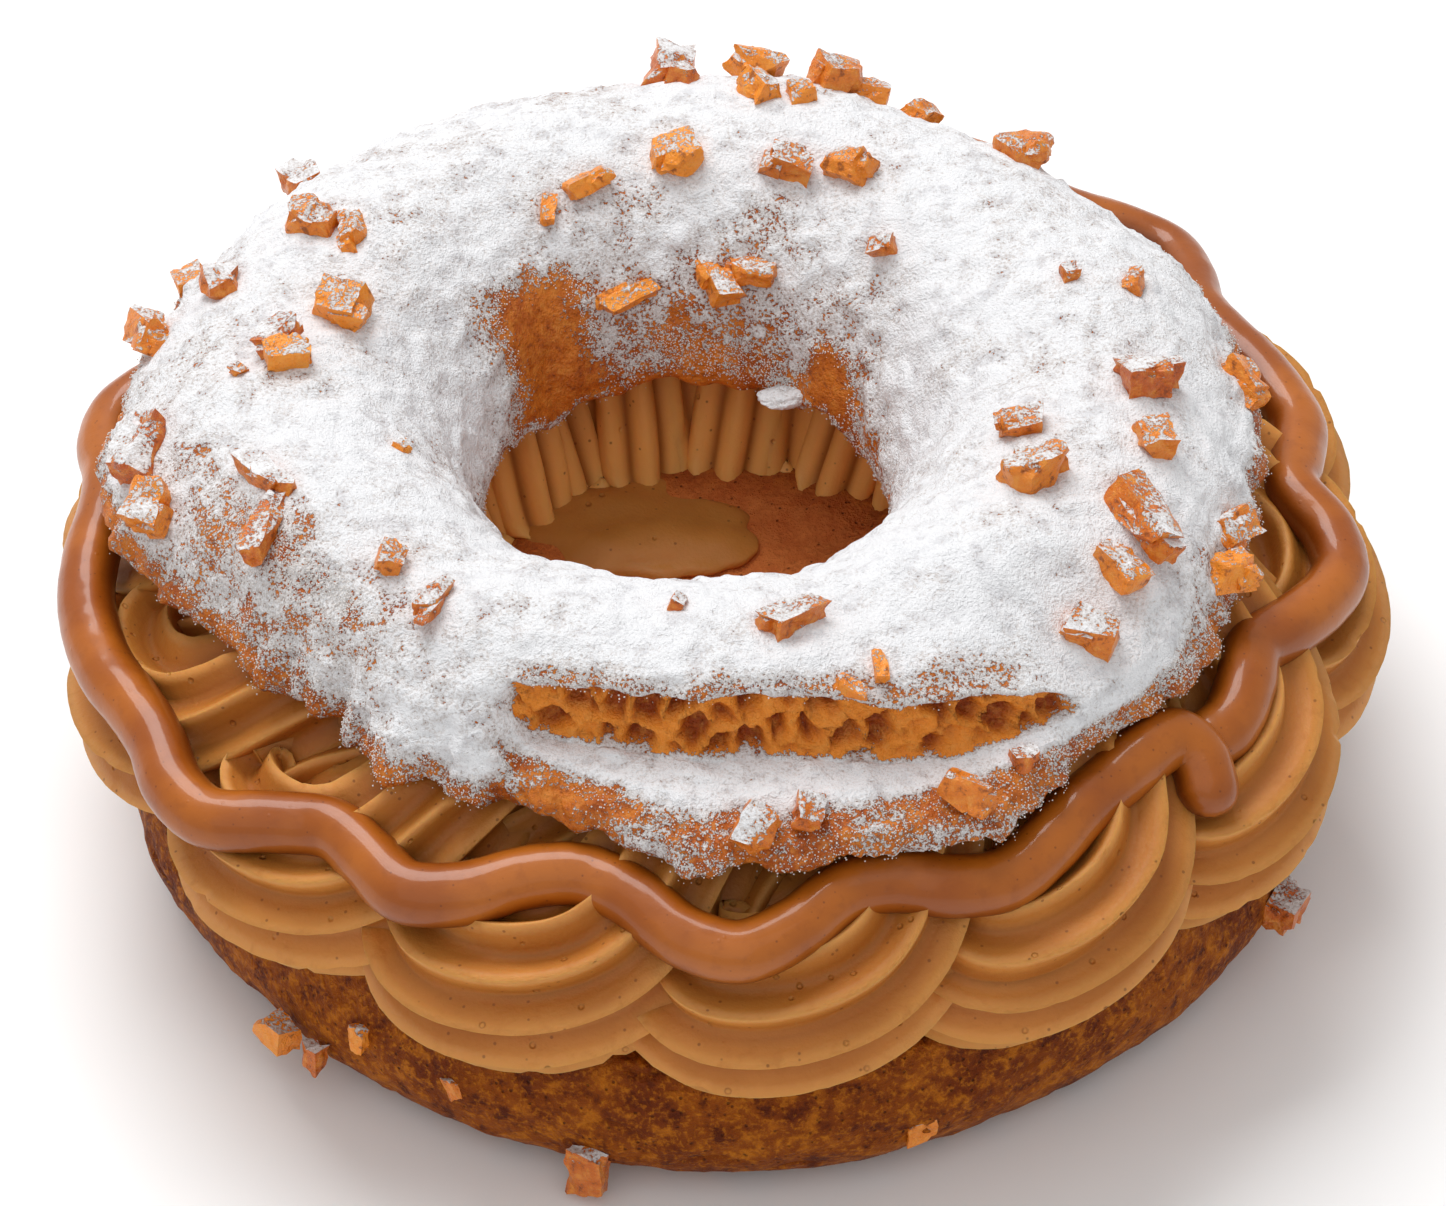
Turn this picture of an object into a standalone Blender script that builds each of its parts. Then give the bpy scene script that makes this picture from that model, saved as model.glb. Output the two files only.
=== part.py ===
"""Paris-Brest: a ring of choux pastry, split and filled with a piped rope of praline cream.

Four pieces lie on each other: the base, the piped cream, a ribbon of caramel and the lid.
Azimuth runs from the front (-Y) towards +X, and +Z is up. Lengths are in metres.
"""

import math
import random

import bmesh
import bpy
from mathutils import Matrix, Vector

MM = 0.001
TURN = 2 * math.pi

# Pieces that touch keep this gap, so that no two solids share a wall.
GAP = 0.35 * MM
# The cream's seats are cut this much wider still, because it is simplified afterwards.
SEAT_EASE = 0.45 * MM

# The base: a flat bun whose hole has closed in the oven, cut level where the cream lies.
BASE_RADIUS = 50.6 * MM
BASE_CUT_HEIGHT = 14.5 * MM
BASE_STEPS = 48

# The cream: one star-shaped rope that zigzags between the rim and the hole.
LOBES = 14
LOBE_PITCH = TURN / LOBES
FIRST_LOBE = math.radians(6)
ROPE_RIDGES = 12
RIDGE_DEPTH = 0.25
ROPE_RADIUS_OUTER = 8.4 * MM
ROPE_RADIUS_INNER = 6.4 * MM
RIM_RADIUS = 47.3 * MM
RIM_HEIGHT = 21.6 * MM
RIM_TILT = math.radians(66)
ARM_HEIGHT = 27.4 * MM
HOLE_RADIUS = 24.6 * MM
HOLE_HEIGHT = 9.0 * MM
HOLE_TILT = math.radians(85)
LOOP_SWELL = 0.2
ARM_LIFT = 2.6 * MM
LEAN = math.radians(9)
CREAM_SAG = 2.0 * MM
FILLER_HEIGHT = 27.4 * MM
ROPE_STEPS = 32
CREAM_VOXEL = 0.7 * MM
CREAM_TRIANGLES = 4800

# The lid: the risen top of the ring, set a little to the left. Its front has torn open.
LID_SHIFT = -3.0 * MM
LID_REACH = 47.2 * MM
LID_STEPS = 60
LID_SECTION = [
    (17.2, 28.0),
    (16.9, 30.2),
    (18.3, 34.8),
    (21.2, 39.8),
    (25.2, 43.2),
    (30.0, 44.9),
    (34.5, 44.9),
    (38.0, 44.0),
    (40.8, 42.6),
    (43.6, 40.4),
    (46.0, 37.4),
    (47.2, 34.8),
    (46.0, 33.8),
    (42.5, 34.0),
    (37.0, 34.9),
    (31.0, 35.2),
    (25.0, 33.8),
    (20.3, 30.6),
]
# Where the crust has torn, these replace the points from the crown to the rim.
TORN_SECTION = {
    7: (37.3, 43.7),
    8: (38.1, 37.7),
    9: (42.6, 37.6),
    10: (46.1, 36.5),
}
TEAR_START = math.radians(-23)
TEAR_END = math.radians(48)
TEAR_MIDDLE = math.radians(3)
TEAR_STRAIGHTNESS = 0.85

# The largest chopped nuts on the lid: azimuth in degrees, distance from the lid's axis, length and
# breadth in mm. They are baked into the crust, so each is joined to the lid.
LID_NUTS = [
    (-178, 42, 5.6, 4.6),
    (163, 43, 4.4, 3.6),
    (137, 42, 4.6, 3.6),
    (-119, 36, 4.2, 3.2),
    (-104, 29, 4.6, 3.6),
    (-94, 33, 4.4, 3.4),
    (-82, 43, 4.8, 4.0),
    (15, 32, 5.6, 2.6),
    (62, 31, 5.2, 3.8),
    (63, 39, 7.6, 4.0),
    (87, 37, 4.6, 3.8),
]
NUT_CUTS = 5
NUT_SINK = 0.2

# The ribbon: a thinner rope of caramel that waves over the shoulder of the cream.
RIBBON_RADIUS = 2.4 * MM
RIBBON_RING = 48.6 * MM
RIBBON_HEIGHT = 30.3 * MM
RIBBON_WAVES = 14
RIBBON_CREST = math.radians(1)
RIBBON_SWING = 2.3 * MM
RIBBON_DIP = 0.7 * MM
RIBBON_TUCK = 3.6 * MM
RIBBON_START = math.radians(41.5)
RIBBON_END = math.radians(57.5 - 360)
RIBBON_POINTS = 70


def smooth_step(low, high, value):
    """0 below low, 1 above high, and a smooth ramp between them."""
    share = min(1.0, max(0.0, (value - low) / (high - low)))
    return share * share * (3 - 2 * share)


def swell(azimuth, centre_deg, half_width_deg):
    """A smooth hill of height 1 in azimuth, zero beyond its half-width."""
    away = (azimuth - math.radians(centre_deg) + math.pi) % TURN - math.pi
    return 1 - smooth_step(0.0, math.radians(half_width_deg), abs(away))


def on_ring(azimuth, radius, height, centre_x=0.0):
    """A point at that azimuth, that far from the ring's axis and that high."""
    return Vector((centre_x + radius * math.sin(azimuth), -radius * math.cos(azimuth), height))


def skin(rings):
    """A closed bmesh over a loop of rings that have the same number of points."""
    bm = bmesh.new()
    rows = [[bm.verts.new(point) for point in ring] for ring in rings]
    for row, following in zip(rows, rows[1:] + rows[:1]):
        for k in range(len(row)):
            bm.faces.new((row[k - 1], row[k], following[k], following[k - 1]))
    bmesh.ops.remove_doubles(bm, verts=bm.verts, dist=1e-6)
    bmesh.ops.recalc_face_normals(bm, faces=bm.faces)
    return bm


def add_object(name, bm, material):
    """Stores the bmesh as a named object, smooth except at its sharp edges."""
    mesh = bpy.data.meshes.new(name)
    bm.to_mesh(mesh)
    bm.free()
    mesh.shade_smooth()
    mesh.set_sharp_from_angle(angle=math.radians(50))
    mesh.materials.append(material)
    obj = bpy.data.objects.new(name, mesh)
    bpy.context.scene.collection.objects.link(obj)
    return obj


def modified(obj, kind, **settings):
    """Replaces the object's mesh by what one modifier makes of it."""
    modifier = obj.modifiers.new(kind.lower(), kind)
    for name, value in settings.items():
        setattr(modifier, name, value)
    graph = bpy.context.evaluated_depsgraph_get()
    mesh = bpy.data.meshes.new_from_object(obj.evaluated_get(graph))
    obj.modifiers.clear()
    old, obj.data = obj.data, mesh
    bpy.data.meshes.remove(old)


def make_material(name, colour, roughness):
    material = bpy.data.materials.new(name)
    material.use_nodes = True
    shader = material.node_tree.nodes["Principled BSDF"]
    shader.inputs["Base Color"].default_value = (*colour, 1.0)
    shader.inputs["Roughness"].default_value = roughness
    shader.inputs["Metallic"].default_value = 0.0
    return material


# ---------------------------------------------------------------- base


def base_reach(azimuth):
    """The base's radius at that azimuth: round, with the slow swells of risen dough."""
    slow = 0.006 * math.sin(2 * azimuth + 0.6) + 0.007 * math.sin(5 * azimuth + 1.9)
    return BASE_RADIUS * (1 + slow + 0.004 * math.sin(9 * azimuth))


def base_section(reach):
    """(radius, height) pairs of the base's half section, from its underside to its floor."""
    shape = [
        (0.0, 0.0),
        (0.87, 0.0),
        (0.955, 1.4 * MM),
        (0.993, 4.4 * MM),
        (1.0, 8.0 * MM),
        (0.985, 11.6 * MM),
        (0.95, BASE_CUT_HEIGHT),
        (0.37, BASE_CUT_HEIGHT),
        (0.30, BASE_CUT_HEIGHT - 0.7 * MM),
        (0.14, BASE_CUT_HEIGHT - 1.2 * MM),
        (0.0, BASE_CUT_HEIGHT - 0.9 * MM),
    ]
    return [(share * reach, height) for share, height in shape]


def make_base(material):
    rings = []
    for step in range(BASE_STEPS):
        azimuth = TURN * step / BASE_STEPS
        rings.append([on_ring(azimuth, *point) for point in base_section(base_reach(azimuth))])
    return add_object("base", skin(rings), material)


# ---------------------------------------------------------------- lid


def lid_reach(azimuth):
    """How far the lid's rim stands from the lid's own axis: it is ragged, and short at the front left."""
    ragged = 0.5 * math.sin(7 * azimuth + 0.4) + 0.35 * math.sin(13 * azimuth + 1.1)
    short = 5.5 * swell(azimuth, -46, 34) + 3.4 * swell(azimuth, -17, 22)
    return LID_REACH + MM * (ragged - short + 2.2 * swell(azimuth, 26, 22))


def tear(azimuth):
    """1 where the lid's crust has torn open, 0 where it is whole."""
    azimuth = (azimuth + math.pi) % TURN - math.pi
    rise = smooth_step(TEAR_START, TEAR_START + math.radians(6), azimuth)
    return rise * (1 - smooth_step(TEAR_END - math.radians(13), TEAR_END, azimuth))


def crust_height(radius):
    """The height in mm of the whole crust at that distance from the lid's axis, outside its ridge."""
    for (r_in, z_in), (r_out, z_out) in zip(LID_SECTION[5:11], LID_SECTION[6:12]):
        if radius <= r_out:
            return z_in + (z_out - z_in) * (radius - r_in) / (r_out - r_in)
    return LID_SECTION[11][1]


def torn_section(azimuth):
    """The four torn points at that azimuth: the tear runs straight, so it nears the rim at both ends."""
    away = (azimuth - TEAR_MIDDLE + math.pi) % TURN - math.pi
    further = 1 / math.cos(TEAR_STRAIGHTNESS * max(-0.8, min(0.8, away)))
    lip = (TORN_SECTION[7][0] * further, min(TORN_SECTION[7][1], crust_height(TORN_SECTION[7][0] * further) - 0.2))
    foot = (lip[0] + 0.8, min(TORN_SECTION[8][1], lip[1] - 1.0))
    shelf = (max(TORN_SECTION[9][0], foot[0] + 1.2), min(TORN_SECTION[9][1], foot[1] - 0.3))
    rim = (max(TORN_SECTION[10][0], shelf[0] + 0.8), min(TORN_SECTION[10][1], shelf[1] - 0.8))
    return {7: lip, 8: foot, 9: shelf, 10: rim}


def lid_section(azimuth):
    """(radius, height) pairs round the lid's half section, in metres."""
    stretch = lid_reach(azimuth) / LID_REACH
    torn = tear(azimuth)
    lump = 0.35 * math.sin(6 * azimuth + 2.0) + 0.25 * math.sin(11 * azimuth)
    torn_points = torn_section(azimuth)
    points = []
    for index, (radius, height) in enumerate(LID_SECTION):
        if index in torn_points:
            radius += torn * (torn_points[index][0] - radius)
            height += torn * (torn_points[index][1] - height)
        outer = smooth_step(30.0, 47.0, radius)
        radius *= 1 + (stretch - 1) * outer
        if 2 <= index <= 9:
            height += lump
        points.append((radius * MM, height * MM))
    return points


def lid_underside(point):
    """The height of the lid's lowest face over that point, or None outside its rim."""
    x, y = point.x - LID_SHIFT, point.y
    radius, azimuth = math.hypot(x, y), math.atan2(x, -y)
    section = lid_section(azimuth)
    ceiling = section[12:] + section[:1]
    if radius > section[11][0] + GAP:
        return None
    if radius >= ceiling[0][0]:
        return ceiling[0][1]
    for (r_out, z_out), (r_in, z_in) in zip(ceiling, ceiling[1:]):
        if radius >= r_in:
            return z_in + (z_out - z_in) * (radius - r_in) / (r_out - r_in)
    return ceiling[-1][1]


def lid_top(azimuth, radius_mm):
    """The height of the lid's crust at that azimuth and distance from its own axis."""
    crust = lid_section(azimuth)[2:12]
    for (r_in, z_in), (r_out, z_out) in zip(crust, crust[1:]):
        if radius_mm * MM <= r_out:
            return z_in + (z_out - z_in) * (radius_mm * MM - r_in) / (r_out - r_in)
    return crust[-1][1]


def chopped_nut(length, breadth, place):
    """One chopped nut: a block with random cuts, turned at random."""
    bm = bmesh.new()
    bmesh.ops.create_cube(bm, size=1.0)
    for _ in range(NUT_CUTS):
        axis = Vector([random.gauss(0, 1) for _ in range(3)]).normalized()
        cut = bmesh.ops.bisect_plane(bm, geom=bm.verts[:] + bm.edges[:] + bm.faces[:], clear_outer=True,
                                     plane_co=axis * random.uniform(0.40, 0.5), plane_no=axis)
        rim = [edge for edge in cut["geom_cut"] if isinstance(edge, bmesh.types.BMEdge)]
        bmesh.ops.contextual_create(bm, geom=rim)
    bmesh.ops.scale(bm, vec=(length, breadth, breadth), verts=bm.verts)
    turn = Matrix.Rotation(random.uniform(0, TURN), 4, "Z") @ Matrix.Rotation(random.gauss(0, 0.25), 4, "X")
    bmesh.ops.transform(bm, matrix=Matrix.Translation(place) @ turn, verts=bm.verts)
    return bm


def bake_in_nuts(lid):
    """Joins the largest nuts to the lid's crust."""
    random.seed(7)
    for azimuth_deg, distance, length, breadth in LID_NUTS:
        azimuth = math.radians(azimuth_deg)
        height = lid_top(azimuth, distance) + (0.5 - NUT_SINK) * breadth * MM
        place = on_ring(azimuth, distance * MM, height, LID_SHIFT)
        nut = add_object("nut", chopped_nut(length * MM, breadth * MM, place), lid.data.materials[0])
        modified(lid, "BOOLEAN", operation="UNION", solver="EXACT", object=nut)
        bpy.data.objects.remove(nut)


def make_lid(material):
    rings = []
    for step in range(LID_STEPS):
        azimuth = TURN * step / LID_STEPS
        rings.append([on_ring(azimuth, *point, LID_SHIFT) for point in lid_section(azimuth)])
    return add_object("lid", skin(rings), material)


# ---------------------------------------------------------------- ribbon


def ribbon_point(azimuth):
    """The ribbon's centre line: out and low between two lobes of cream, in and high over a lobe."""
    late = math.radians(4) * swell(azimuth, -26, 14)
    wave = math.cos(RIBBON_WAVES * (azimuth + late - RIBBON_CREST))
    sag = swell(azimuth, -62, 55)
    radius = RIBBON_RING + RIBBON_SWING * wave + MM * (1.9 * sag + 1.3 * swell(azimuth, 100, 80))
    radius -= RIBBON_TUCK * swell(azimuth, 50, 13)
    height = RIBBON_HEIGHT - RIBBON_DIP * wave - MM * (1.9 * sag + 0.4 * swell(azimuth, 100, 80))
    return on_ring(azimuth, radius, height)


def ribbon_line():
    """The ribbon's points: a short tail folded down over its own start, then once round."""
    tail = [
        (47.6, 51.6, 27.2),
        (48.8, 50.2, 28.6),
        (49.4, 48.2, 30.2),
        (48.4, 46.5, 31.1),
        (45.6, 45.8, 31.2),
    ]
    points = [on_ring(math.radians(az), radius * MM, height * MM) for az, radius, height in tail]
    for step in range(RIBBON_POINTS + 1):
        azimuth = RIBBON_START + (RIBBON_END - RIBBON_START) * step / RIBBON_POINTS
        points.append(ribbon_point(azimuth))
    return points


def make_ribbon(material):
    curve = bpy.data.curves.new("ribbon", "CURVE")
    curve.dimensions = "3D"
    curve.bevel_depth = RIBBON_RADIUS
    curve.bevel_resolution = 2
    curve.use_fill_caps = True
    line = ribbon_line()
    spline = curve.splines.new("POLY")
    spline.points.add(len(line) - 1)
    for target, point in zip(spline.points, line):
        target.co = (*point, 1.0)
    spline.use_smooth = True
    curve.materials.append(material)
    obj = bpy.data.objects.new("ribbon", curve)
    bpy.context.scene.collection.objects.link(obj)
    return obj


# ---------------------------------------------------------------- cream


def rope_station(lobe, share):
    """One station of the rope, share 0 to 1 from one inner turn to the next: its place, its way up and how far in it is."""
    across = share - 0.5
    inward = 0.5 - 0.5 * math.cos(TURN * across)
    azimuth = FIRST_LOBE + LOBE_PITCH * (lobe + across + LOOP_SWELL * math.sin(2 * TURN * across))
    azimuth += LEAN * smooth_step(0.0, 0.6, inward)
    radius = RIM_RADIUS + (HOLE_RADIUS - RIM_RADIUS) * inward
    climb = smooth_step(0.0, 0.55, inward)
    fall = smooth_step(0.6, 1.0, inward)
    height = RIM_HEIGHT + (ARM_HEIGHT - RIM_HEIGHT) * climb + (HOLE_HEIGHT - ARM_HEIGHT) * fall
    height += ARM_LIFT * math.sin(TURN * across)
    tilt = RIM_TILT + (TURN / 4 - RIM_TILT) * smooth_step(0.0, 0.4, inward)
    tilt += HOLE_TILT * smooth_step(0.5, 1.0, inward)
    return on_ring(azimuth, radius, height), on_ring(azimuth, math.cos(tilt), math.sin(tilt)), inward


def rope_rings():
    """Star-shaped rings, square to the rope's line, all the way round."""
    stations = [
        rope_station(lobe, step / ROPE_STEPS) for lobe in range(LOBES) for step in range(ROPE_STEPS)
    ]
    rings = []
    for k, (point, up, inward) in enumerate(stations):
        along = (stations[(k + 1) % len(stations)][0] - stations[k - 1][0]).normalized()
        across = along.cross(up).normalized()
        up = across.cross(along)
        size = ROPE_RADIUS_OUTER + (ROPE_RADIUS_INNER - ROPE_RADIUS_OUTER) * inward
        ring = []
        for side in range(2 * ROPE_RIDGES):
            angle = math.pi * side / ROPE_RIDGES
            reach = size * (1 - RIDGE_DEPTH * (side % 2))
            ring.append(point + (across * math.cos(angle) + up * math.sin(angle)) * reach)
        rings.append(ring)
    return rings


def filler_rings():
    """The cream below the rope's arms, which fills the ring down to the base."""
    low, high = BASE_CUT_HEIGHT + GAP, FILLER_HEIGHT
    section = [(21.5 * MM, low), (49.0 * MM, low), (47.0 * MM, high - 4 * MM), (36 * MM, high), (23.5 * MM, high - 4 * MM)]
    steps = LOBES * 6
    return [[on_ring(TURN * step / steps, *point) for point in section] for step in range(steps)]


def press(bm):
    """Flattens the cream under the lid and on the base, as their weight does."""
    for vertex in bm.verts:
        ceiling = lid_underside(vertex.co)
        if ceiling is not None:
            vertex.co.z = min(vertex.co.z, ceiling - 1.5 * GAP)
        sag = CREAM_SAG * smooth_step(48.4 * MM, 51.0 * MM, math.hypot(vertex.co.x, vertex.co.y))
        vertex.co.z = max(vertex.co.z, BASE_CUT_HEIGHT + 1.3 * GAP - sag)


def make_cream(material, lid, ribbon):
    bm = skin(rope_rings())
    filler = bpy.data.meshes.new("filler")
    ring = skin(filler_rings())
    ring.to_mesh(filler)
    ring.free()
    bm.from_mesh(filler)
    bpy.data.meshes.remove(filler)
    press(bm)
    cream = add_object("cream", bm, material)
    modified(cream, "REMESH", mode="VOXEL", voxel_size=CREAM_VOXEL)
    for seat in (lid, ribbon):
        modified(cream, "BOOLEAN", operation="DIFFERENCE", solver="EXACT", object=seat)
    modified(cream, "REMESH", mode="VOXEL", voxel_size=CREAM_VOXEL)
    faces = sum(len(polygon.vertices) - 2 for polygon in cream.data.polygons)
    modified(cream, "DECIMATE", ratio=CREAM_TRIANGLES / faces)
    return cream


# ---------------------------------------------------------------- whole


def fat_copy(obj):
    """A helper as much larger than the piece as the gap round it, to cut its seat into the cream."""
    copy = obj.copy()
    copy.data = obj.data.copy()
    copy.name = f"{obj.name}_seat"
    bpy.context.scene.collection.objects.link(copy)
    if copy.type == "CURVE":
        copy.data.bevel_depth += GAP + SEAT_EASE
        points = copy.data.splines[0].points
        for end, inner in ((points[0], points[1]), (points[-1], points[-2])):
            end.co += (end.co - inner.co).normalized() * (GAP + SEAT_EASE)
        graph = bpy.context.evaluated_depsgraph_get()
        mesh = bpy.data.meshes.new_from_object(copy.evaluated_get(graph))
        bpy.data.objects.remove(copy)
        copy = bpy.data.objects.new(f"{obj.name}_seat", mesh)
        bpy.context.scene.collection.objects.link(copy)
        bm = bmesh.new()
        bm.from_mesh(mesh)
        bmesh.ops.remove_doubles(bm, verts=bm.verts, dist=1e-6)
        bmesh.ops.recalc_face_normals(bm, faces=bm.faces)
        bm.to_mesh(mesh)
        bm.free()
    else:
        for vertex, normal in zip(copy.data.vertices, [v.normal.copy() for v in copy.data.vertices]):
            vertex.co += normal * (GAP + SEAT_EASE)
    copy.hide_render = True
    copy.display_type = "WIRE"
    return copy


def centre_on_origin(pieces, helpers):
    """Moves everything so that the middle of the pieces' common box stands on the origin."""
    bpy.context.view_layer.update()
    corners = [Vector(corner) for obj in pieces for corner in obj.bound_box]
    for axis in (0, 1):
        low = min(corner[axis] for corner in corners)
        high = max(corner[axis] for corner in corners)
        for obj in pieces + helpers:
            obj.location[axis] -= (low + high) / 2


def main():
    for obj in list(bpy.data.objects):
        bpy.data.objects.remove(obj)
    crust = make_material("base_crust", (0.30, 0.12, 0.03), 0.6)
    praline = make_material("praline_cream", (0.52, 0.29, 0.13), 0.5)
    caramel = make_material("caramel", (0.38, 0.14, 0.04), 0.25)
    sugared = make_material("sugared_crust", (0.86, 0.83, 0.80), 0.8)
    base = make_base(crust)
    lid = make_lid(sugared)
    ribbon = make_ribbon(caramel)
    helpers = [fat_copy(lid), fat_copy(ribbon)]
    cream = make_cream(praline, *helpers)
    bake_in_nuts(lid)
    centre_on_origin([base, cream, lid, ribbon], helpers)


main()
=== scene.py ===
# %% [markdown]
# # A Paris-Brest, dressed for the camera
# A Paris-Brest is a ring of choux pastry, split in two and filled with a piped rope of praline cream.
# The solid model holds its four pieces at their real size: the base, the cream, a ribbon of caramel
# and the lid. This lesson remakes each surface as finely as the eye sees it, in the space of its
# solid, and gives each a finish made of nodes. First we load the solids.

# %% The solids
import math
import random

import bmesh
import bpy
from mathutils import Matrix, Vector, noise
from mathutils.bvhtree import BVHTree


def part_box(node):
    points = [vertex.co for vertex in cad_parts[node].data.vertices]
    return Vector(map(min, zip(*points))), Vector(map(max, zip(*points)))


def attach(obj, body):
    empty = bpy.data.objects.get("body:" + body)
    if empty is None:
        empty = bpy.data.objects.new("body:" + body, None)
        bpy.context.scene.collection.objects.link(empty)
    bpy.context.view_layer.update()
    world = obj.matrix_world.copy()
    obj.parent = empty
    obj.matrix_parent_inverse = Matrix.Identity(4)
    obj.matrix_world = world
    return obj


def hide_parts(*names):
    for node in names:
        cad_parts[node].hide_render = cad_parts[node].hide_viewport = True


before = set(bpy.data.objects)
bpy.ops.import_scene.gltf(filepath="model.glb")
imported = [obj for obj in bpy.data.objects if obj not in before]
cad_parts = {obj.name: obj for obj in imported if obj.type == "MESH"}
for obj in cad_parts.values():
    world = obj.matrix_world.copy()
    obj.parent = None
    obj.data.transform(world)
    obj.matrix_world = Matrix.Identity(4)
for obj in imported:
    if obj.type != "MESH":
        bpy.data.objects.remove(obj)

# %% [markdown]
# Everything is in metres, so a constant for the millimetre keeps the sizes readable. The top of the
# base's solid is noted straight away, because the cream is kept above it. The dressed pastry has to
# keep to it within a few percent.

MM = 0.001
TURN = 2 * math.pi


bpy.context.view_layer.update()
BASE_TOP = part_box("base")[1].z

# %% [markdown]
# Dough, cream and sugar are never regular, so a few small helpers are used all over the pastry: a
# ramp with soft ends, a hill somewhere round the ring, and random waves and cells that always come
# out the same. Azimuth runs from the front (-Y) towards +X, which suits a ring better than x and y.

# %% Helpers for uneven rings


def smooth_step(low, high, value):
    """0 below low, 1 above high, and a smooth ramp between them."""
    share = min(1.0, max(0.0, (value - low) / (high - low)))
    return share * share * (3 - 2 * share)


def centred(azimuth):
    """The same azimuth, between half a turn to the left and half a turn to the right of the front."""
    return (azimuth + math.pi) % TURN - math.pi


def swell(azimuth, centre_deg, half_width_deg):
    """A smooth hill of height 1 in azimuth, zero beyond its half-width."""
    away = centred(azimuth - math.radians(centre_deg))
    return 1 - smooth_step(0.0, math.radians(half_width_deg), abs(away))


def hills(azimuth, terms):
    """The sum of several hills, each as (height, centre in degrees, half-width in degrees)."""
    return sum(height * swell(azimuth, centre, half_width) for height, centre, half_width in terms)


def on_ring(azimuth, radius, height, centre_x=0.0):
    """A point at that azimuth, that far from the ring's axis and that high."""
    return Vector((centre_x + radius * math.sin(azimuth), -radius * math.cos(azimuth), height))


def lumps(point, size, seed=0.0):
    """A random wave from about -1 to 1, whose lumps are that large."""
    return noise.noise(point / size + Vector((seed, 1.7 * seed, 2.3 * seed)))


def cell_edge(point, size, seed=0.0):
    """How far a point is from the wall between two random cells: 0 on the wall, about 0.5 deep inside."""
    distances = noise.voronoi(point / size + Vector((seed, seed, seed)))[0]
    return distances[1] - distances[0]


# %% [markdown]
# Almost every piece here is a tube bent into a ring, so one function makes them all. An operator
# makes a flat grid, whose rows run round the ring and whose columns run round the tube. Each point is
# sent to its place by a function that knows its row and its side, and the seams are then merged. A
# spun circle would do as well, but a grid is much quicker when there are a thousand rows.

# %% A ring of rows


def ring_of_rows(name, rows, sides, place, closed=True):
    """A tube of rows x sides points, placed by place(row, side). An open tube gets end caps."""
    bm = bmesh.new()
    lengths = rows if closed else rows - 1
    bmesh.ops.create_grid(bm, x_segments=lengths, y_segments=sides, size=1.0)
    row_of, side_of = bm.verts.layers.int.new("row"), bm.verts.layers.int.new("side")
    for vertex in bm.verts:
        row = round((vertex.co.x + 1) / 2 * lengths) % rows
        side = round((vertex.co.y + 1) / 2 * sides) % sides
        vertex[row_of], vertex[side_of] = row, side
        vertex.co = place(row, side)
    bmesh.ops.remove_doubles(bm, verts=[vertex for vertex in bm.verts if vertex.is_boundary], dist=1e-7)
    if not closed:
        bmesh.ops.holes_fill(bm, edges=[edge for edge in bm.edges if edge.is_boundary], sides=0)
    bmesh.ops.recalc_face_normals(bm, faces=bm.faces)
    spots = [(vertex[row_of], vertex[side_of]) for vertex in bm.verts]
    print(f"{name}: {len(bm.verts)} points, {sum(len(face.verts) - 2 for face in bm.faces)} triangles")
    return bm, spots


def add_piece(name, bm, material, body="root"):
    """Stores a bmesh as a smooth piece at the origin, which moves with the pastry."""
    mesh = bpy.data.meshes.new(name)
    bm.to_mesh(mesh)
    bm.free()
    mesh.shade_smooth()
    mesh.materials.append(material)
    piece = bpy.data.objects.new(name, mesh)
    bpy.context.scene.collection.objects.link(piece)
    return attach(piece, body)


def paint(bm, name, values):
    """Keeps one number for each point under that name, for the material to read."""
    layer = bm.verts.layers.float.new(name)
    for vertex, value in zip(bm.verts, values):
        vertex[layer] = value


def paint_all(bm, **marks):
    """Keeps the same number for all the points under each name."""
    for name, value in marks.items():
        paint(bm, name, [value] * len(bm.verts))


# %% [markdown]
# Shaders are sums too. The class below wraps the socket of a node, so that Python's own + - * / add
# the Math nodes, and a mask can be written as 1 - mask. Colours can't pass through a Math node,
# which would turn them grey, so they are mixed by a node of their own.

# %% Shader maths


class Number:
    """A value that changes over a surface. Python's operators on it add Math nodes."""

    def __init__(self, finish, socket):
        self.finish = finish
        self.socket = socket

    def math(self, operation, first, second):
        return self.finish.node("ShaderNodeMath", {"operation": operation}, {0: first, 1: second})

    def __add__(self, other):
        return self.math("ADD", self, other)

    def __sub__(self, other):
        return self.math("SUBTRACT", self, other)

    def __rsub__(self, other):
        return self.math("SUBTRACT", other, self)

    def __mul__(self, other):
        return self.math("MULTIPLY", self, other)

    __radd__ = __add__
    __rmul__ = __mul__


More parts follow.
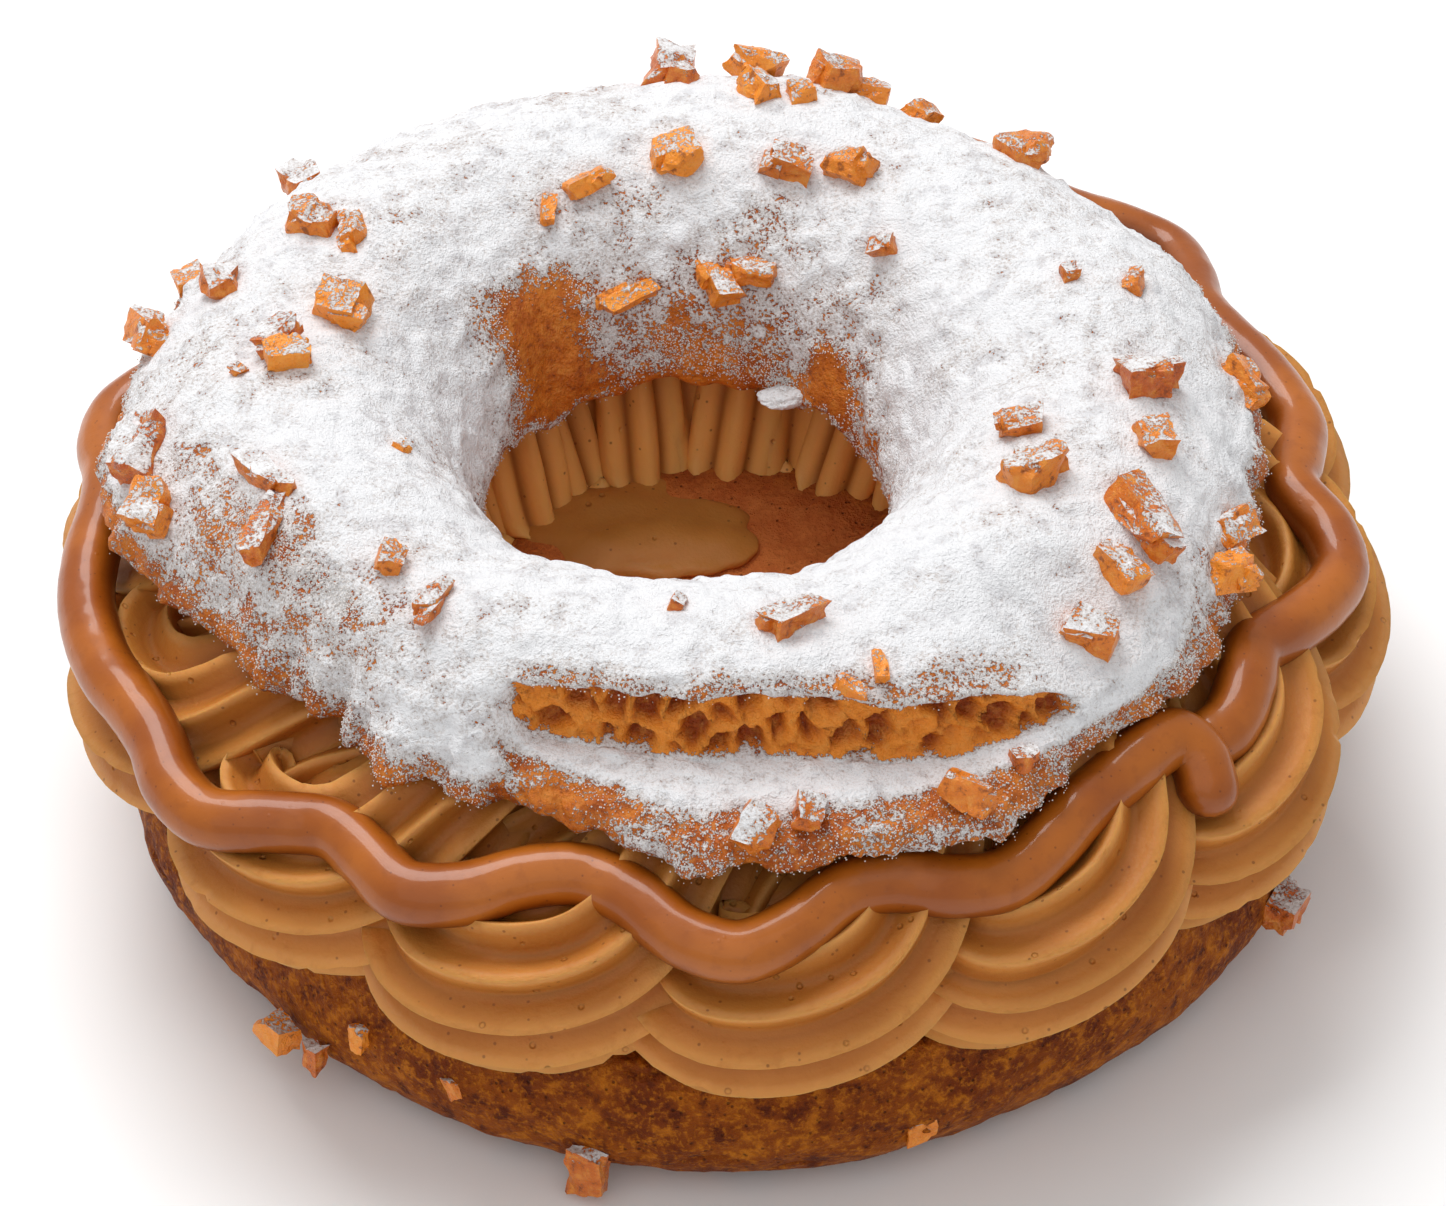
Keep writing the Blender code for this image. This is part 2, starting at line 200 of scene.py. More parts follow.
class Finish:
    """One material: a Principled shader and the nodes that drive it."""

    def __init__(self, name, roughness):
        self.material = bpy.data.materials.new(name)
        self.material.use_nodes = True
        self.tree = self.material.node_tree
        self.shader = self.tree.nodes["Principled BSDF"]
        self.shader.inputs["Roughness"].default_value = roughness

    def join(self, value, socket):
        if isinstance(value, Number):
            self.tree.links.new(value.socket, socket)
        elif socket.type == "RGBA":
            socket.default_value = (*value, 1.0)
        else:
            socket.default_value = value

    def node(self, kind, settings=None, inputs=None, output=0):
        """Adds a node: its settings first, then its inputs, each by name or number."""
        made = self.tree.nodes.new(kind)
        for name, value in (settings or {}).items():
            setattr(made, name, value)
        for key, value in (inputs or {}).items():
            self.join(value, made.inputs[key])
        return Number(self, made.outputs[output])

    def set(self, **inputs):
        """Joins values to the shader's own sockets, with _ for a space in their names."""
        for name, value in inputs.items():
            self.join(value, self.shader.inputs[name.replace("_", " ")])

    def where(self):
        """The place on the piece, in the piece's own coordinates."""
        return self.node("ShaderNodeTexCoord", output=3)

    def clouds(self, size, detail, roughness):
        """Soft random clouds from 0 to 1, of that size in metres."""
        inputs = {"Vector": self.where(), "Scale": 1 / size, "Detail": detail, "Roughness": roughness}
        return self.node("ShaderNodeTexNoise", inputs=inputs)

    def cells(self, size):
        """Distance from the middle of random cells of that size."""
        return self.node("ShaderNodeTexVoronoi", inputs={"Vector": self.where(), "Scale": 1 / size})

    def painted(self, name):
        """The numbers that were kept on the piece's points under that name."""
        return self.node("ShaderNodeAttribute", {"attribute_name": name}, output=2)

    def ramp(self, value, low, high):
        """0 below low, 1 above high, and smooth between them."""
        settings = {"interpolation_type": "SMOOTHSTEP"}
        return self.node("ShaderNodeMapRange", settings, {0: value, 1: low, 2: high, 3: 0.0, 4: 1.0})

    def mix(self, share, first, second):
        """A colour between two others: share 0 gives the first."""
        return self.node("ShaderNodeMix", {"data_type": "RGBA"}, {0: share, 6: first, 7: second}, output=2)

    def bump(self, height, depth):
        """A normal roughened by that height, which stands for depth in metres."""
        return self.node("ShaderNodeBump", inputs={"Height": height, "Distance": depth, "Strength": 1.0})


def tone(red, green, blue):
    """A screen colour from 0 to 255 as the linear light that the shader wants."""
    shares = [value / 255 for value in (red, green, blue)]
    return tuple(s / 12.92 if s <= 0.04045 else ((s + 0.055) / 1.055) ** 2.4 for s in shares)


# %% [markdown]
# ## The base
# The lower half of the bun is a plain baked crust: deep golden brown, mottled, with fine wrinkles
# and pebbles where the dough's skin set. Its hole has closed in the oven. We start from the same half
# section as the solid, and let random lumps of several sizes move the skin.

# %% The base's crust
BASE_RADIUS = 50.6 * MM
BASE_ROWS = 420
BASE_SECTION = [
    (0.0, 0.0),
    (43.5, 0.0),
    (47.6, 1.4),
    (50.0, 4.4),
    (50.6, 8.0),
    (49.8, 11.6),
    (48.0, 14.5),
    (18.7, 14.5),
    (15.2, 13.8),
    (7.1, 13.3),
    (0.0, 13.6),
]
BASE_SPLITS = [6, 12, 14, 18, 18, 14, 16, 8, 12, 8]


def base_reach(azimuth):
    """The base's radius at that azimuth: round, with the slow swells of risen dough."""
    slow = 0.006 * math.sin(2 * azimuth + 0.6) + 0.007 * math.sin(5 * azimuth + 1.9)
    return BASE_RADIUS * (1 + slow + 0.004 * math.sin(9 * azimuth))


def curve_between(before, first, second, after, share):
    """A smooth curve from first to second that keeps the direction of its neighbours."""
    before, first, second, after = map(Vector, (before, first, second, after))
    length = (second - first).length
    leave = (second - before) * (length / (length + (first - before).length))
    arrive = (after - first) * (length / (length + (after - second).length))
    square, cube = share ** 2, share ** 3
    start = first * (2 * cube - 3 * square + 1) + leave * (cube - 2 * square + share)
    return start + second * (3 * square - 2 * cube) + arrive * (cube - square)


def split_section(section, splits, closed):
    """The section's points with finer ones between them, as (radius, height, place along the section)."""
    fine = []
    last = len(section) - 1
    for k, count in enumerate(splits):
        if closed:
            corners = [section[(k + step) % len(section)] for step in (-1, 0, 1, 2)]
        else:
            corners = [section[min(last, max(0, k + step))] for step in (-1, 0, 1, 2)]
        for step in range(count):
            share = step / count
            fine.append((*curve_between(*corners, share), k + share))
    if not closed:
        fine.append((*section[-1], float(last)))
    return fine


def base_skin():
    """A turned bun whose skin is moved by lumps, pebbles and fine fissures."""
    bm = bmesh.new()
    fine = split_section(BASE_SECTION, BASE_SPLITS, closed=False)
    chain = [bm.verts.new((radius * MM, 0, height * MM)) for radius, height, _ in fine]
    for low, high in zip(chain, chain[1:]):
        bm.edges.new((low, high))
    bmesh.ops.spin(bm, geom=bm.verts[:] + bm.edges[:], cent=(0, 0, 0), axis=(0, 0, 1), angle=TURN,
                   steps=BASE_ROWS, use_merge=True, use_duplicate=False)
    bmesh.ops.remove_doubles(bm, verts=bm.verts, dist=1e-6)
    bmesh.ops.recalc_face_normals(bm, faces=bm.faces)
    for vertex in bm.verts:
        azimuth = math.atan2(vertex.co.x, -vertex.co.y)
        stretch = base_reach(azimuth) / BASE_RADIUS
        vertex.co.x *= stretch
        vertex.co.y *= stretch
    bm.normal_update()
    moves = []
    for vertex in bm.verts:
        point = vertex.co
        free = smooth_step(0.3 * MM, 3.0 * MM, point.z)
        rough = 0.35 * lumps(point, 7 * MM, 1) + 0.22 * lumps(point, 2.6 * MM, 2)
        rough += 0.12 * lumps(point, 1.1 * MM, 3)
        fissure = smooth_step(0.09, 0.0, abs(lumps(point, 5 * MM, 4)))
        fissure *= smooth_step(0.0, 0.5, lumps(point, 9 * MM, 5))
        moves.append(vertex.normal * (free * MM * (rough - 0.35 * fissure - 0.15)))
    for vertex, move in zip(bm.verts, moves):
        vertex.co += move
        vertex.co.z = max(0.0, vertex.co.z)
    # Paler floor of the hole: partly a paler inner crust, partly painted light where the hole lies in shade.
    floor = []
    for vertex in bm.verts:
        inside = smooth_step(25 * MM, 18 * MM, math.hypot(vertex.co.x, vertex.co.y))
        floor.append(inside * smooth_step(8 * MM, 11 * MM, vertex.co.z))
    paint(bm, "floor", floor)
    print("base:", len(bm.verts), "points")
    return bm


# %% [markdown]
# The colour mixes three browns by clouds of different size. The middle and fine clouds also raise the
# bump, so the crust is painted lighter where it stands up and darker in its dips, and the small pores
# are sunk and painted dark: painted light and shade on the relief. A low, waxy gloss keeps it from
# looking painted.

# %% The base's finish


def make_crust():
    crust = Finish("golden_crust", roughness=0.6)
    broad = crust.clouds(8 * MM, 4.0, 0.6)
    middle = crust.clouds(2.0 * MM, 5.0, 0.7)
    fine = crust.clouds(0.5 * MM, 3.0, 0.65)
    colour = crust.mix(crust.ramp(broad, 0.35, 0.65), tone(112, 45, 0), tone(146, 71, 0))
    # Painted light and shade: lighter where the middle and fine clouds raise the bump, darker in its dips.
    colour = crust.mix(crust.ramp(middle, 0.48, 0.66) * 0.8, colour, tone(186, 106, 14))
    colour = crust.mix(crust.ramp(middle, 0.47, 0.33), colour, tone(88, 31, 0))
    colour = crust.mix(crust.ramp(fine, 0.5, 0.7) * 0.45, colour, tone(198, 120, 24))
    # Painted light, in part: the hole's floor is paler to stand in for light in its shade, and as a paler
    # inner crust.
    floor = crust.mix(middle, tone(206, 88, 30), tone(250, 158, 88))
    colour = crust.mix(crust.painted("floor") * 0.85, colour, floor)
    # Painted shade: the pores are darkened where the bump sinks them.
    shaded_pores = crust.ramp(crust.cells(0.9 * MM), 0.18, 0.05)
    colour = crust.mix(shaded_pores * 0.6, colour, tone(64, 22, 4))
    relief = middle * 0.7 + fine * 0.5 - shaded_pores * 0.4
    crust.set(Base_Color=colour, Roughness=0.5 + fine * 0.2, Normal=crust.bump(relief, 0.6 * MM))
    crust.set(Specular_IOR_Level=0.15)
    return crust.material


base_crust = add_piece("base_crust", base_skin(), make_crust())
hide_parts("base")

# %% [markdown]
# ## The cream
# The cream is one rope from a star nozzle, laid in a zigzag between the rim and the hole, so that
# every turn at the rim shows as a fan of curved ridges. The sum below gives the rope's middle line:
# each lobe runs out and back again, and its right arm is lifted so that it lies over the next lobe's
# left arm. A star ring is set square to that line at each station. The ridges are thin crests with
# wide round valleys between them, as the nozzle's teeth leave them, but down in the hole, where the
# turns press together, the crests are round and the valleys narrow.

# %% The rope's line
LOBES = 14
LOBE_PITCH = TURN / LOBES
FIRST_LOBE = math.radians(6)
ROPE_RADIUS_OUTER = 8.4 * MM
ROPE_RADIUS_INNER = 6.4 * MM
RIM_RADIUS = 47.3 * MM
RIM_HEIGHT = 21.6 * MM
RIM_TILT = math.radians(66)
ARM_HEIGHT = 27.4 * MM
HOLE_RADIUS = 24.6 * MM
HOLE_HEIGHT = 9.0 * MM
HOLE_TILT = math.radians(85)
LOOP_SWELL = 0.2
ARM_LIFT = 2.6 * MM
LEAN = math.radians(9)
COLUMN_LEAN = math.radians(7)
ROPE_STEPS = 90
ROPE_CROWDING = 0.08
ROPE_RIDGES = 12
ROPE_SIDES = ROPE_RIDGES * 6
RIDGE_DEPTH = 0.28
RIDGE_ROUNDING = 0.1


def rope_station(lobe, share):
    """One station of a lobe, at share 0 to 1 of its way: its place, its way up and how far in it is."""
    across = share - 0.5
    inward = 0.5 - 0.5 * math.cos(TURN * across)
    azimuth = FIRST_LOBE + LOBE_PITCH * (lobe + across + LOOP_SWELL * math.sin(2 * TURN * across))
    azimuth += LEAN * smooth_step(0.0, 0.6, inward)
    radius = RIM_RADIUS + (HOLE_RADIUS - RIM_RADIUS) * inward
    climb = smooth_step(0.0, 0.55, inward)
    fall = smooth_step(0.6, 1.0, inward)
    azimuth += COLUMN_LEAN * fall * (swell(azimuth, 158, 45) - 0.4 * swell(azimuth, -158, 30))
    height = RIM_HEIGHT + (ARM_HEIGHT - RIM_HEIGHT) * climb + (HOLE_HEIGHT - ARM_HEIGHT) * fall
    height += ARM_LIFT * math.sin(TURN * across)
    tilt = RIM_TILT + (TURN / 4 - RIM_TILT) * smooth_step(0.0, 0.4, inward)
    tilt += HOLE_TILT * smooth_step(0.5, 1.0, inward)
    return on_ring(azimuth, radius, height), on_ring(azimuth, math.cos(tilt), math.sin(tilt)), inward


def ridge_valley(side, inward):
    """0 on a crest of the star, 1 in the middle of a valley. In the hole the crests are pressed round."""
    turn = math.pi * ROPE_RIDGES * side / ROPE_SIDES
    crest = math.sqrt(1 + RIDGE_ROUNDING ** 2) - RIDGE_ROUNDING
    sharp = (math.sqrt(math.sin(turn) ** 2 + RIDGE_ROUNDING ** 2) - RIDGE_ROUNDING) / crest
    away = abs(math.cos(turn))
    pressed = 1 - math.sqrt(away ** 2 + RIDGE_ROUNDING ** 2) + RIDGE_ROUNDING * (1 - away)
    return sharp + (pressed - sharp) * smooth_step(0.6, 0.85, inward)


def rope_share(step):
    """Stations stand closer together at the rim, where the rope bends most."""
    even = step / ROPE_STEPS
    return even + ROPE_CROWDING * math.sin(TURN * even)


rope_line = [rope_station(lobe, rope_share(step)) for lobe in range(LOBES) for step in range(ROPE_STEPS)]
print("rope:", len(rope_line), "stations")

# %% [markdown]
# The lid lies on the cream and presses it down, so the cream needs to know the lid's underside. The
# lid's own half section is written here, in millimetres, with the places where its crust has torn
# open at the front. It leans a little to the left, and its rim is ragged and short at the front left.

# %% The lid's half section
LID_SHIFT = -3.0
LID_REACH = 47.2
# Hills, in mm: where the rim falls short of that reach, or goes beyond it.
LID_SHORT = [(5.5, -46, 34), (3.4, -17, 22), (-2.2, 26, 22)]
# Which points of the section are the outer end of its ridge and the rim.
RIDGE_POINT = 5
RIM_POINT = 11
SECTION_STEPS = 720
LID_SECTION = [
    (17.2, 28.0),
    (16.9, 30.2),
    (18.3, 34.8),
    (21.2, 39.8),
    (25.2, 43.2),
    (30.0, 44.9),
    (34.5, 44.9),
    (38.0, 44.0),
    (40.8, 42.6),
    (43.6, 40.4),
    (46.0, 37.4),
    (47.2, 34.8),
    (46.0, 33.8),
    (42.5, 34.0),
    (37.0, 34.9),
    (31.0, 35.2),
    (25.0, 33.8),
    (20.3, 30.6),
]
TORN_SECTION = {
    7: (37.3, 43.7),
    8: (38.1, 37.7),
    9: (42.6, 37.6),
    10: (46.1, 36.5),
}
TEAR_START = math.radians(-23)
TEAR_END = math.radians(48)
TEAR_MIDDLE = math.radians(3)
TEAR_STRAIGHTNESS = 0.85


def lid_reach(azimuth):
    """How far the lid's rim stands from the lid's own axis, in mm."""
    ragged = 0.5 * math.sin(7 * azimuth + 0.4) + 0.35 * math.sin(13 * azimuth + 1.1)
    return LID_REACH + ragged - hills(azimuth, LID_SHORT)


def tear(azimuth):
    """1 where the lid's crust has torn open, 0 where it is whole."""
    azimuth = centred(azimuth)
    rise = smooth_step(TEAR_START, TEAR_START + math.radians(6), azimuth)
    return rise * (1 - smooth_step(TEAR_END - math.radians(13), TEAR_END, azimuth))


def tear_reach(azimuth):
    """1 along the tear and 0 well past its ends, where the section's points slide back to their places."""
    azimuth = centred(azimuth)
    rise = smooth_step(TEAR_START - math.radians(18), TEAR_START, azimuth)
    return rise * (1 - smooth_step(TEAR_END, TEAR_END + math.radians(18), azimuth))


def crust_height(radius):
    """The height in mm of the whole crust at that distance from the lid's axis, outside its ridge."""
    slope = LID_SECTION[RIDGE_POINT:RIM_POINT + 1]
    for (r_in, z_in), (r_out, z_out) in zip(slope, slope[1:]):
        if radius <= r_out:
            return z_in + (z_out - z_in) * (radius - r_in) / (r_out - r_in)
    return LID_SECTION[RIM_POINT][1]


def torn_section(azimuth):
    """The four torn points at that azimuth: the tear runs straight, so it nears the rim at both ends."""
    away = centred(azimuth - TEAR_MIDDLE)
    further = 1 / math.cos(TEAR_STRAIGHTNESS * max(-0.8, min(0.8, away)))
    rim = LID_SECTION[RIM_POINT][0]
    reaches = {7: min(rim - 0.6, TORN_SECTION[7][0] * further)}
    for index, step in ((8, 1.9), (9, 0.9), (10, 0.5)):
        reaches[index] = max(TORN_SECTION[index][0], reaches[index - 1] + step)
    points = {}
    for index, reach in reaches.items():
        reach = min(reach, rim - 0.5 * (RIM_POINT - index))
        points[index] = (reach, min(TORN_SECTION[index][1], crust_height(reach) - 0.2))
    return points


def lid_section(azimuth):
    """(radius, height) pairs round the lid's half section, in mm."""
    stretch = lid_reach(azimuth) / LID_REACH
    torn = tear(azimuth)
    lump = 0.35 * math.sin(6 * azimuth + 2.0) + 0.25 * math.sin(11 * azimuth)
    torn_points = torn_section(azimuth)
    points = []
    for index, (radius, height) in enumerate(LID_SECTION):
        if index in torn_points:
            radius += tear_reach(azimuth) * (torn_points[index][0] - radius)
            height = crust_height(radius)
            height += torn * (torn_points[index][1] - height)
        radius *= 1 + (stretch - 1) * smooth_step(30.0, 47.0, radius)
        if 2 <= index <= 9:
            height += lump
        points.append((radius, height))
    return points


lid_sections = [lid_section(TURN * step / SECTION_STEPS) for step in range(SECTION_STEPS)]


def lid_underside(x, y):
    """The height in mm of the lid's lowest face over that place, or None outside its rim."""
    radius, azimuth = math.hypot(x - LID_SHIFT, y), math.atan2(x - LID_SHIFT, -y)
    section = lid_sections[round(azimuth / TURN * SECTION_STEPS) % SECTION_STEPS]
    ceiling = section[RIM_POINT + 1:] + section[:1]
    if radius > section[RIM_POINT][0]:
        return None
    if radius >= ceiling[0][0]:
        return ceiling[0][1]
    for (r_out, z_out), (r_in, z_in) in zip(ceiling, ceiling[1:]):
        if radius >= r_in:
            return z_in + (z_out - z_in) * (radius - r_in) / (r_out - r_in)
    return ceiling[-1][1]


print("lid's rim in mm:", [round(lid_reach(math.radians(a)), 1) for a in range(-90, 91, 30)])

# %% [markdown]
# No pastry cook squeezes evenly. The rope's thickness wavers, each crest has small nicks where air
# spat out of the nozzle, and the cream sags where it meets the base and the lid. These are small
# moves on top of the star, and the valley's depth is kept for the finish, which paints the crests
# lighter and the valleys darker: painted light and shade on the ridges.

# %% The cream's surface
CREAM_GAP = 0.5
CREAM_SAG = 2.4 * MM
CREAM_SUNK = 12.0 * MM


def rope_frame(row):
    """Where a ring of the rope stands, its two radii, its twist and the depth of its ridges."""
    station, up, inward = rope_line[row]
    following, before = rope_line[(row + 1) % len(rope_line)][0], rope_line[row - 1][0]
    along = (following - before).normalized()
    across = along.cross(up).normalized()
    up = across.cross(along)
    waver = 1 + 0.035 * lumps(station, 11 * MM, 21) + 0.02 * lumps(station, 4 * MM, 22)
    size = (ROPE_RADIUS_OUTER + (ROPE_RADIUS_INNER - ROPE_RADIUS_OUTER) * inward) * waver
    twist = 0.10 * lumps(station, 14 * MM, 23)
    deep = RIDGE_DEPTH * (1 - 0.3 * inward)
    depths = [deep * (1 + 0.35 * lumps(station, 9 * MM, 24 + k)) for k in range(ROPE_RIDGES + 1)]
    return station, across * size, up * size, twist, depths


rope_frames = [rope_frame(row) for row in range(len(rope_line))]


def cream_point(row, side):
    """A point of the star rope, with the wavering of the cook's hand."""
    station, across, up, twist, depths = rope_frames[row]
    angle = TURN * side / ROPE_SIDES + twist
    spoke = across * math.cos(angle) + up * math.sin(angle)
    valley = ridge_valley(side, rope_line[row][2])
    point = station + spoke * (1 - depths[round(side * ROPE_RIDGES / ROPE_SIDES)] * valley)
    nick = (1 - valley) * smooth_step(0.42, 0.7, lumps(point, 1.6 * MM, 50))
    point += spoke.normalized() * (MM * (0.06 * lumps(point, 1.2 * MM, 51) - 0.35 * nick))
    ceiling = lid_underside(point.x / MM, point.y / MM)
    if ceiling is not None:
        point.z = min(point.z, (ceiling - CREAM_GAP) * MM)
    reach = math.hypot(point.x, point.y)
    sag = CREAM_SAG * smooth_step(48.0 * MM, 51.0 * MM, reach)
    sag += CREAM_SUNK * smooth_step(32 * MM, 28 * MM, reach)
    point.z = max(point.z, BASE_TOP + 0.2 * MM - sag)
    return point


cream_bm, cream_spots = ring_of_rows("cream", len(rope_line), ROPE_SIDES, cream_point)
# The valley's depth, which the finish turns into painted light on crests and painted shade in valleys.
paint(cream_bm, "valley", [ridge_valley(side, rope_line[row][2]) for row, side in cream_spots])
# Painted light: how far down in the hole the rope lies, where the finish paints it lighter to stand in for
# light.
paint(cream_bm, "inner", [smooth_step(0.6, 0.9, rope_line[row][2]) for row, _ in cream_spots])

# %% [markdown]
# Praline cream is butter cream with ground caramelised nuts: a warm tan with fine dark specks, soft
# edges and a low gloss like firm butter. Light goes a little way into it, so a small constant amount
# of subsurface scattering softens the crests. Pits left by air bubbles are a bump only.

# %% The cream's finish


def make_praline():
    praline = Finish("praline_cream", roughness=0.5)
    broad = praline.clouds(12 * MM, 3.0, 0.5)
    fine = praline.clouds(1.5 * MM, 4.0, 0.6)
    grain = praline.clouds(0.35 * MM, 2.0, 0.6)
    valley = praline.painted("valley")
    colour = praline.mix(praline.ramp(broad, 0.35, 0.65), tone(184, 114, 42), tone(200, 130, 56))
    # Painted light and shade: the crests are lighter and the valleys darker.
    colour = praline.mix(praline.ramp(valley, 0.4, 0.0) * 0.7, colour, tone(226, 160, 84))
    colour = praline.mix(praline.ramp(valley, 0.4, 1.0) * 0.5, colour, tone(158, 84, 20))
    colour = praline.mix(praline.ramp(fine, 0.5, 0.75) * 0.3, colour, tone(172, 98, 32))
    # Painted light: the cream down in the hole is painted lighter where it would lie in shade.
    inner = praline.painted("inner") * praline.ramp(valley, 1.0, 0.3)
    colour = praline.mix(inner, colour, tone(255, 192, 108))
    specks = praline.ramp(praline.cells(1.3 * MM), 0.14, 0.06)
    colour = praline.mix(specks * 0.6, colour, tone(104, 50, 14))
    pits = praline.ramp(praline.cells(2.7 * MM), 0.12, 0.05)
    relief = fine * 0.5 + grain * 0.35 - pits * 1.2
    praline.set(Base_Color=colour, Roughness=0.42 + fine * 0.2, Normal=praline.bump(relief, 0.16 * MM))
    praline.set(Subsurface_Weight=0.2, Subsurface_Radius=(1.0, 0.4, 0.12), Subsurface_Scale=1.2 * MM)
    praline.set(Specular_IOR_Level=0.35)
    return praline.material


praline = make_praline()
cream = add_piece("cream_rope", cream_bm, praline)
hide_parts("cream")

# %% [markdown]
# Where the nozzle stopped, a little cream was wiped over the floor of the hole. It is a flat drop: a
# sphere pressed thin, with a wavy outline that random lumps push out and in.

# %% The smear in the hole
SMEAR_PLACE = Vector((-7.5, 14.5, 13.6)) * MM
SMEAR_SIZE = Vector((11.0, 6.5, 1.5)) * MM


def smear_drop():
    """A flat drop of cream with an uneven edge."""
    bm = bmesh.new()
    bmesh.ops.create_icosphere(bm, subdivisions=6, radius=1.0)
    for vertex in bm.verts:
        outward = Vector((vertex.co.x, vertex.co.y, 0))
        vertex.co += outward * (0.22 * lumps(outward, 0.7, 71) + 0.08 * lumps(outward, 0.25, 72))
        vertex.co.z *= 1 + 0.5 * lumps(vertex.co, 0.5, 73)
    bmesh.ops.scale(bm, vec=SMEAR_SIZE, verts=bm.verts)
    bmesh.ops.translate(bm, vec=SMEAR_PLACE, verts=bm.verts)
    # The smear gets a little of the painted light of the hole.
    paint_all(bm, valley=0.6, inner=0.2)
    return bm


smear = add_piece("cream_smear", smear_drop(), praline)
print("smear: %.0f mm across" % (smear.dimensions.x / MM))

# %% [markdown]
# ## The caramel ribbon
# A thinner rope of soft praline caramel was piped last, in waves over the shoulder of the cream. It
# sinks a little between the lobes and rises over them. At the left it has slid outward and lost its
# waves, and its tail is folded down over its own start at the front right. It is the same kind of
# tube as the cream, but open: the ends are rounded off by letting the last rows shrink.

# %% The ribbon's line
RIBBON_RADIUS = 2.4 * MM
RIBBON_RING = 48.6 * MM
RIBBON_HEIGHT = 30.3 * MM
RIBBON_WAVES = 14
RIBBON_CREST = math.radians(1)
RIBBON_SWING = 2.3 * MM
RIBBON_DIP = 0.7 * MM
RIBBON_TUCK = 4.2 * MM
# Hills along the ribbon: how much flatter its waves are, how far it has slid out, is held in and has
# sunk in mm, and by how many degrees its waves come late.
RIBBON_FLAT = [(0.8, 108, 26), (0.85, -74, 34), (0.55, -32, 15)]
RIBBON_SLID = [(1.9, -62, 55), (2.4, -89, 31), (2.3, -61, 25), (1.6, 140, 20)]
RIBBON_HELD = [(1.4, -17, 12), (2.7, 28, 14)]
RIBBON_SUNK = [(1.9, -62, 55), (0.4, 100, 80)]
RIBBON_LATE = [(4.0, -24, 14), (-4.0, 84, 16)]
RIBBON_START = math.radians(41.5)
RIBBON_END = math.radians(51.0 - 360)
RIBBON_POINTS = 70
RIBBON_TAIL = [
    (48.0, 51.0, 27.2),
    (49.6, 49.6, 28.6),
    (50.8, 47.6, 30.2),
    (49.8, 45.9, 31.3),
    (46.0, 45.4, 31.4),
]
RIBBON_SPLITS = 8
RIBBON_SIDES = 40


def ribbon_point(azimuth):
    """The ribbon's middle line: out and low between two lobes of cream, in and high over a lobe."""
    late = math.radians(hills(azimuth, RIBBON_LATE))
    wave = math.cos(RIBBON_WAVES * (azimuth + late - RIBBON_CREST)) * (1 - hills(azimuth, RIBBON_FLAT))
    moved = MM * (hills(azimuth, RIBBON_SLID) - hills(azimuth, RIBBON_HELD))
    radius = RIBBON_RING + RIBBON_SWING * wave + moved
    radius -= RIBBON_TUCK * swell(azimuth, 50, 13)
    height = RIBBON_HEIGHT - RIBBON_DIP * wave - MM * hills(azimuth, RIBBON_SUNK)
    return on_ring(azimuth, radius, height)


def ribbon_line():
    """The tail's few points and the wave's, with finer ones between them."""
    points = [on_ring(math.radians(a), radius * MM, height * MM) for a, radius, height in RIBBON_TAIL]
    for step in range(RIBBON_POINTS + 1):
        points.append(ribbon_point(RIBBON_START + (RIBBON_END - RIBBON_START) * step / RIBBON_POINTS))
    fine = []
    last = len(points) - 1
    for k in range(last):
        corners = [points[min(last, max(0, k + step))] for step in (-1, 0, 1, 2)]
        for step in range(RIBBON_SPLITS):
            fine.append(curve_between(*corners, step / RIBBON_SPLITS))
    return fine + [points[-1]]


ribbon_middle = ribbon_line()
RIBBON_ROWS = len(ribbon_middle)
ribbon_run = [0.0]
for here, following in zip(ribbon_middle, ribbon_middle[1:]):
    ribbon_run.append(ribbon_run[-1] + (following - here).length)
print("ribbon: %.0f mm long" % (ribbon_run[-1] / MM))

# %% The ribbon's surface


def ribbon_surface(row, side):
    """A point of the ribbon: round, a little flat below, and rounded off at both ends."""
    station = ribbon_middle[row]
    before, following = ribbon_middle[max(0, row - 1)], ribbon_middle[min(RIBBON_ROWS - 1, row + 1)]
    along = (following - before).normalized()
    out = Vector((station.x, station.y, 0)).normalized() + Vector((0, 0, 1.2))
    across = along.cross(out).normalized()
    up = across.cross(along)
    to_end = min(ribbon_run[row], ribbon_run[-1] - ribbon_run[row])
    end = min(1.0, 0.02 + to_end / RIBBON_RADIUS)
    radius = RIBBON_RADIUS * math.sqrt(1 - (1 - end) ** 2) * (1 + 0.05 * lumps(station, 9 * MM, 61))
    angle = TURN * side / RIBBON_SIDES
    spoke = across * math.cos(angle) * 1.02 + up * math.sin(angle) * 0.96
    point = station + spoke * radius
    return point + spoke * (0.05 * MM * lumps(point, 1.5 * MM, 62))


ribbon_bm, ribbon_spots = ring_of_rows("ribbon", RIBBON_ROWS, RIBBON_SIDES, ribbon_surface, closed=False)
paint(ribbon_bm, "crown", [math.sin(TURN * side / RIBBON_SIDES) for _, side in ribbon_spots])

# %% [markdown]
# The caramel is glossy and smooth, a redder brown than the cream, with tiny bubbles and ground nuts
# in its skin. A thin coat over a rougher base gives the long soft highlights of a sticky sauce, and
# the lower half of the rope is darker, where less light reaches it.

# %% The ribbon's finish


